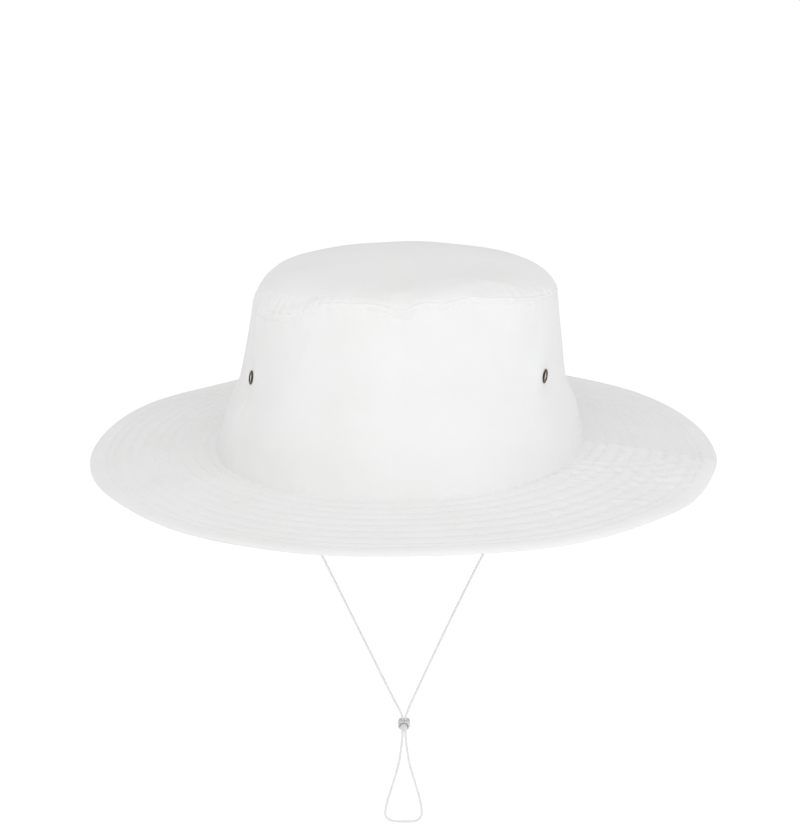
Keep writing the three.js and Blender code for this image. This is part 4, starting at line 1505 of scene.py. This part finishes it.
def stitch_turns(row, size, gap):
    """Turns where each stitch of a closed row starts and ends: the row's own length, divided
    into whole stitches."""
    turns = np.arange(0, 360, 0.25)
    line = row(turns)[0]
    way = np.r_[0, np.cumsum(np.linalg.norm(np.diff(np.vstack([line, line[:1]]), axis=0), axis=1))]
    count = round(way[-1] / (size + gap))
    starts = np.arange(count) * way[-1] / count
    return [np.interp(x % way[-1], way, np.r_[turns, 360.0]) for x in (starts, starts + size)]


def thread_mesh(name, starts, ends, outs, thickness):
    """All stitches of a group as one mesh. Each is a slim grain: three rings of five points, the
    outer two small and sunk in the cloth, the middle one full, closed by a point at each end."""
    along = ends - starts
    size = np.linalg.norm(along, axis=1, keepdims=True)
    along = along / size
    side = np.cross(outs, along)
    side /= np.linalg.norm(side, axis=1, keepdims=True)
    up = np.cross(along, side)
    sides = 5
    angle = even_angles(sides)
    ring = side[:, None] * np.cos(angle)[None, :, None] + up[:, None] * np.sin(angle)[None, :, None]
    rings = []
    for share, radius, lift in ((0.06, 0.34, -0.18), (0.5, 0.5, 0.22), (0.94, 0.34, -0.18)):
        middle = starts + along * size * share + up * thickness * lift
        rings.append(middle[:, None] + ring * thickness * radius)
    sunk = up * thickness * 0.5
    points = np.concatenate([*rings, (starts - sunk)[:, None], (ends - sunk)[:, None]], axis=1)
    pole = 3 * sides
    quads = np.concatenate([quads_between(b, b + sides, sides) for b in (0, sides)])
    caps = np.concatenate([fan(pole, 0, sides), fan(pole + 1, 2 * sides, sides)[:, ::-1]])
    each = np.arange(len(starts))[:, None, None] * (pole + 2)
    faces = (quads + each).reshape(-1, 4).tolist() + (caps + each).reshape(-1, 3).tolist()
    return add_piece(name, points.reshape(-1, 3), flipped(faces), named_material("sewing thread"))


class HAT_OT_stitching(bpy.types.Operator):
    """Every stitch of the brim's rows and of the tip seam's topstitching, as thread"""

    bl_idname = "hat.stitching"
    bl_label = "Stitching"

    def execute(self, context):
        rows = range(context.scene.hat_brim.rows)
        self.sew("brim_stitches_upper", [self.brim_row(k, True) for k in rows], "brim_cloth")
        self.sew("brim_stitches_under", [self.brim_row(k, False) for k in rows], "brim_cloth")
        self.sew("crown_stitches", [self.wall_row, self.tip_row], "crown_cloth")
        return {"FINISHED"}

    def brim_row(self, index, upper):
        """Points and outward directions of one row of the brim, at any turns."""

        def row(turn):
            inset = row_insets(turn)[index]
            out = brim_normal(turn, inset)
            return brim_point(turn, inset, upper), out if upper else -out

        return row

    def wall_row(self, turn):
        """The same for the topstitching on the wall, below the tip seam."""
        up = 1 - wall_up(turn, bpy.context.scene.hat_crown.topstitch)
        return wall_point(turn, up), facing(wall_face, turn, up)

    def tip_row(self, turn):
        """The same for the topstitching on the tip, above its seam."""
        step = np.full_like(turn, 0.01)
        run = step * bpy.context.scene.hat_crown.topstitch / tip_inset(turn, step)
        return tip_point(turn, run), facing(tip_face, turn, run)

    def sew(self, name, rows, slot):
        """All the stitches of some rows as one piece."""
        trim = bpy.context.scene.hat_trim
        starts, ends, outs = [], [], []
        for row in rows:
            first, last = stitch_turns(row, trim.stitch, trim.stitch_gap)
            point, out = row(first)
            starts.append(point)
            ends.append(row(last)[0])
            outs.append(out)
        starts, ends, outs = (np.concatenate(part) for part in (starts, ends, outs))
        finish_piece(thread_mesh(name, starts, ends, outs, trim.thread), "hat", slot)


# Faces round an eyelet, and points across its rolled rim.
EYELET_SIDES = 56
EYELET_ROLL = 15


class HAT_OT_eyelets(bpy.types.Operator):
    """Four dark metal vent eyelets: rolled rim outside, barrel, and washer inside"""

    bl_idname = "hat.eyelets"
    bl_label = "Eyelets"

    def execute(self, context):
        for name, at in eyelet_turns().items():
            points, faces = self.ring(context)
            points = seated(points, at, context.scene.hat_trim.eyelet_height)
            eyelet = add_piece(name + "_rolled", points, faces, named_material("dark plating"))
            # The barrel is painted pale: painted light seen in the bore.
            eyelet.data.materials.append(named_material("rubbed metal"))
            # The barrel is the band of faces that follows the rolled rim.
            bands = np.arange(len(faces)) // EYELET_SIDES == EYELET_ROLL - 1
            eyelet.data.polygons.foreach_set("material_index", bands.astype(np.int32))
            eyelet.data.set_sharp_from_angle(angle=math.radians(40))
            finish_piece(eyelet, "hat", "eyelet_metal", name)
        return {"FINISHED"}

    def ring(self, context):
        """Closed profile carried round the axis: a half-round rim from the outer edge into the
        bore, down the barrel, out over the washer and back up the barrel's other side."""
        trim = context.scene.hat_trim
        cloth = context.scene.hat_crown.cloth
        bore, rim, washer = trim.eyelet_bore, trim.eyelet_radius, trim.washer_radius
        half = 0.5 * (rim - bore)
        arc = np.linspace(0, math.pi, EYELET_ROLL)
        roll = [(bore + half + half * math.cos(a), -0.05 * MM - 0.5 * MM * math.sin(a)) for a in arc]
        back = cloth + 0.35 * MM
        profile = roll + [
            (bore, back + 0.2 * MM),
            (bore + 0.25 * MM, back + 0.45 * MM),
            (washer - 0.2 * MM, back + 0.3 * MM),
            (washer, back + 0.1 * MM),
            (washer - 0.1 * MM, back - 0.1 * MM),
            (bore + 0.5 * MM, back - 0.1 * MM),
            (bore + 0.5 * MM, 0.0),
            (rim - 0.15 * MM, 0.02 * MM),
        ]
        radius, y = np.array(profile).T
        points, faces = shell(rings_about_y(radius[:, None], y, EYELET_SIDES))
        return points, flipped(faces)


class HAT_OT_cord_tabs(bpy.types.Operator):
    """Two folded tape tabs inside the seam, where the cord's ends are sewn in"""

    bl_idname = "hat.cord_tabs"
    bl_label = "Cord tabs"

    def execute(self, context):
        trim = context.scene.hat_trim
        places = {"cord_tab_left": 180 - trim.tab_turn, "cord_tab_right": trim.tab_turn}
        for name, at in places.items():
            points, faces, uv = self.pad(trim)
            points = seated(points, at, trim.tab_height, inside=True)
            tab = add_piece(name + "_tape", points, faces, named_material("cotton tape"), uv)
            finish_piece(tab, "hat", "tab_tape", name)
        return {"FINISHED"}

    def pad(self, trim):
        """Flat pad with soft edges: rings of a rounded square, thin at the rim, with a sunk
        stitched line a little in from it. +Y faces into the hat."""
        around = 96
        half = 0.5 * trim.tab_cloth
        angle = even_angles(around)
        shares = np.r_[np.linspace(0.06, 0.62, 8), np.linspace(0.66, 0.94, 12), 0.97, 0.99, 1.0]
        full = np.sqrt(np.clip(1 - shares**14, 0, 1))
        sink = 0.3 * MM * bell(shares, 0.78, 0.045)
        outline = oval_radius(np.degrees(angle), 0.5 * trim.tab_width, 0.5 * trim.tab_length, 5.0)
        x = shares[:, None] * outline * np.cos(angle)
        z = shares[:, None] * outline * np.sin(angle)
        middle = trim.tab_gap + half
        inner = np.broadcast_to(middle + (half * full - sink)[:, None], x.shape)
        outer = np.broadcast_to(middle - (half * full)[:, None], x.shape)
        front = np.stack([x, inner, z], axis=-1)[::-1]
        back = np.stack([x, outer, z], axis=-1)
        poles = np.array([[0, middle + half, 0], [0, middle - half, 0]])
        rings = np.concatenate([front, back])
        points, faces = shell(rings, poles, len(front))
        return points, flipped(faces), flat_uv(points[:, [0, 2, 1]], faces)


class HAT_PT_panel(bpy.types.Panel):
    """The hat's operators and sizes in the 3D view's sidebar"""

    bl_idname = "HAT_PT_panel"
    bl_label = "Cricket Hat"
    bl_space_type = "VIEW_3D"
    bl_region_type = "UI"
    bl_category = "Hat"

    def draw(self, context):
        for operator in OPERATORS:
            self.layout.operator(operator.bl_idname)
        for group in GROUPS:
            box = self.layout.box()
            for name in getattr(context.scene, group).__annotations__:
                box.prop(getattr(context.scene, group), name)


# In the order in which they build the hat.
OPERATORS = (
    HAT_OT_stage,
    HAT_OT_cord_lock,
    HAT_OT_chin_cord,
    HAT_OT_crown_wall,
    HAT_OT_crown_tip,
    HAT_OT_brim,
    HAT_OT_stitching,
    HAT_OT_eyelets,
    HAT_OT_cord_tabs,
)


def register():
    """Make the classes and the scene's groups of sizes known to Blender."""
    for cls in (*GROUPS.values(), *OPERATORS, HAT_PT_panel):
        bpy.utils.register_class(cls)
    for name, group in GROUPS.items():
        setattr(bpy.types.Scene, name, bpy.props.PointerProperty(type=group))


def unregister():
    """Take them away again."""
    for name in GROUPS:
        delattr(bpy.types.Scene, name)
    for cls in (HAT_PT_panel, *reversed(OPERATORS), *reversed(GROUPS.values())):
        bpy.utils.unregister_class(cls)


def main():
    register()
    bpy.ops.hat.stage()
    bpy.ops.hat.cord_lock()
    bpy.ops.hat.chin_cord()
    bpy.ops.hat.crown_wall()
    bpy.ops.hat.crown_tip()
    bpy.ops.hat.brim()
    bpy.ops.hat.stitching()
    bpy.ops.hat.eyelets()
    bpy.ops.hat.cord_tabs()


if __name__ == "__main__":
    main()
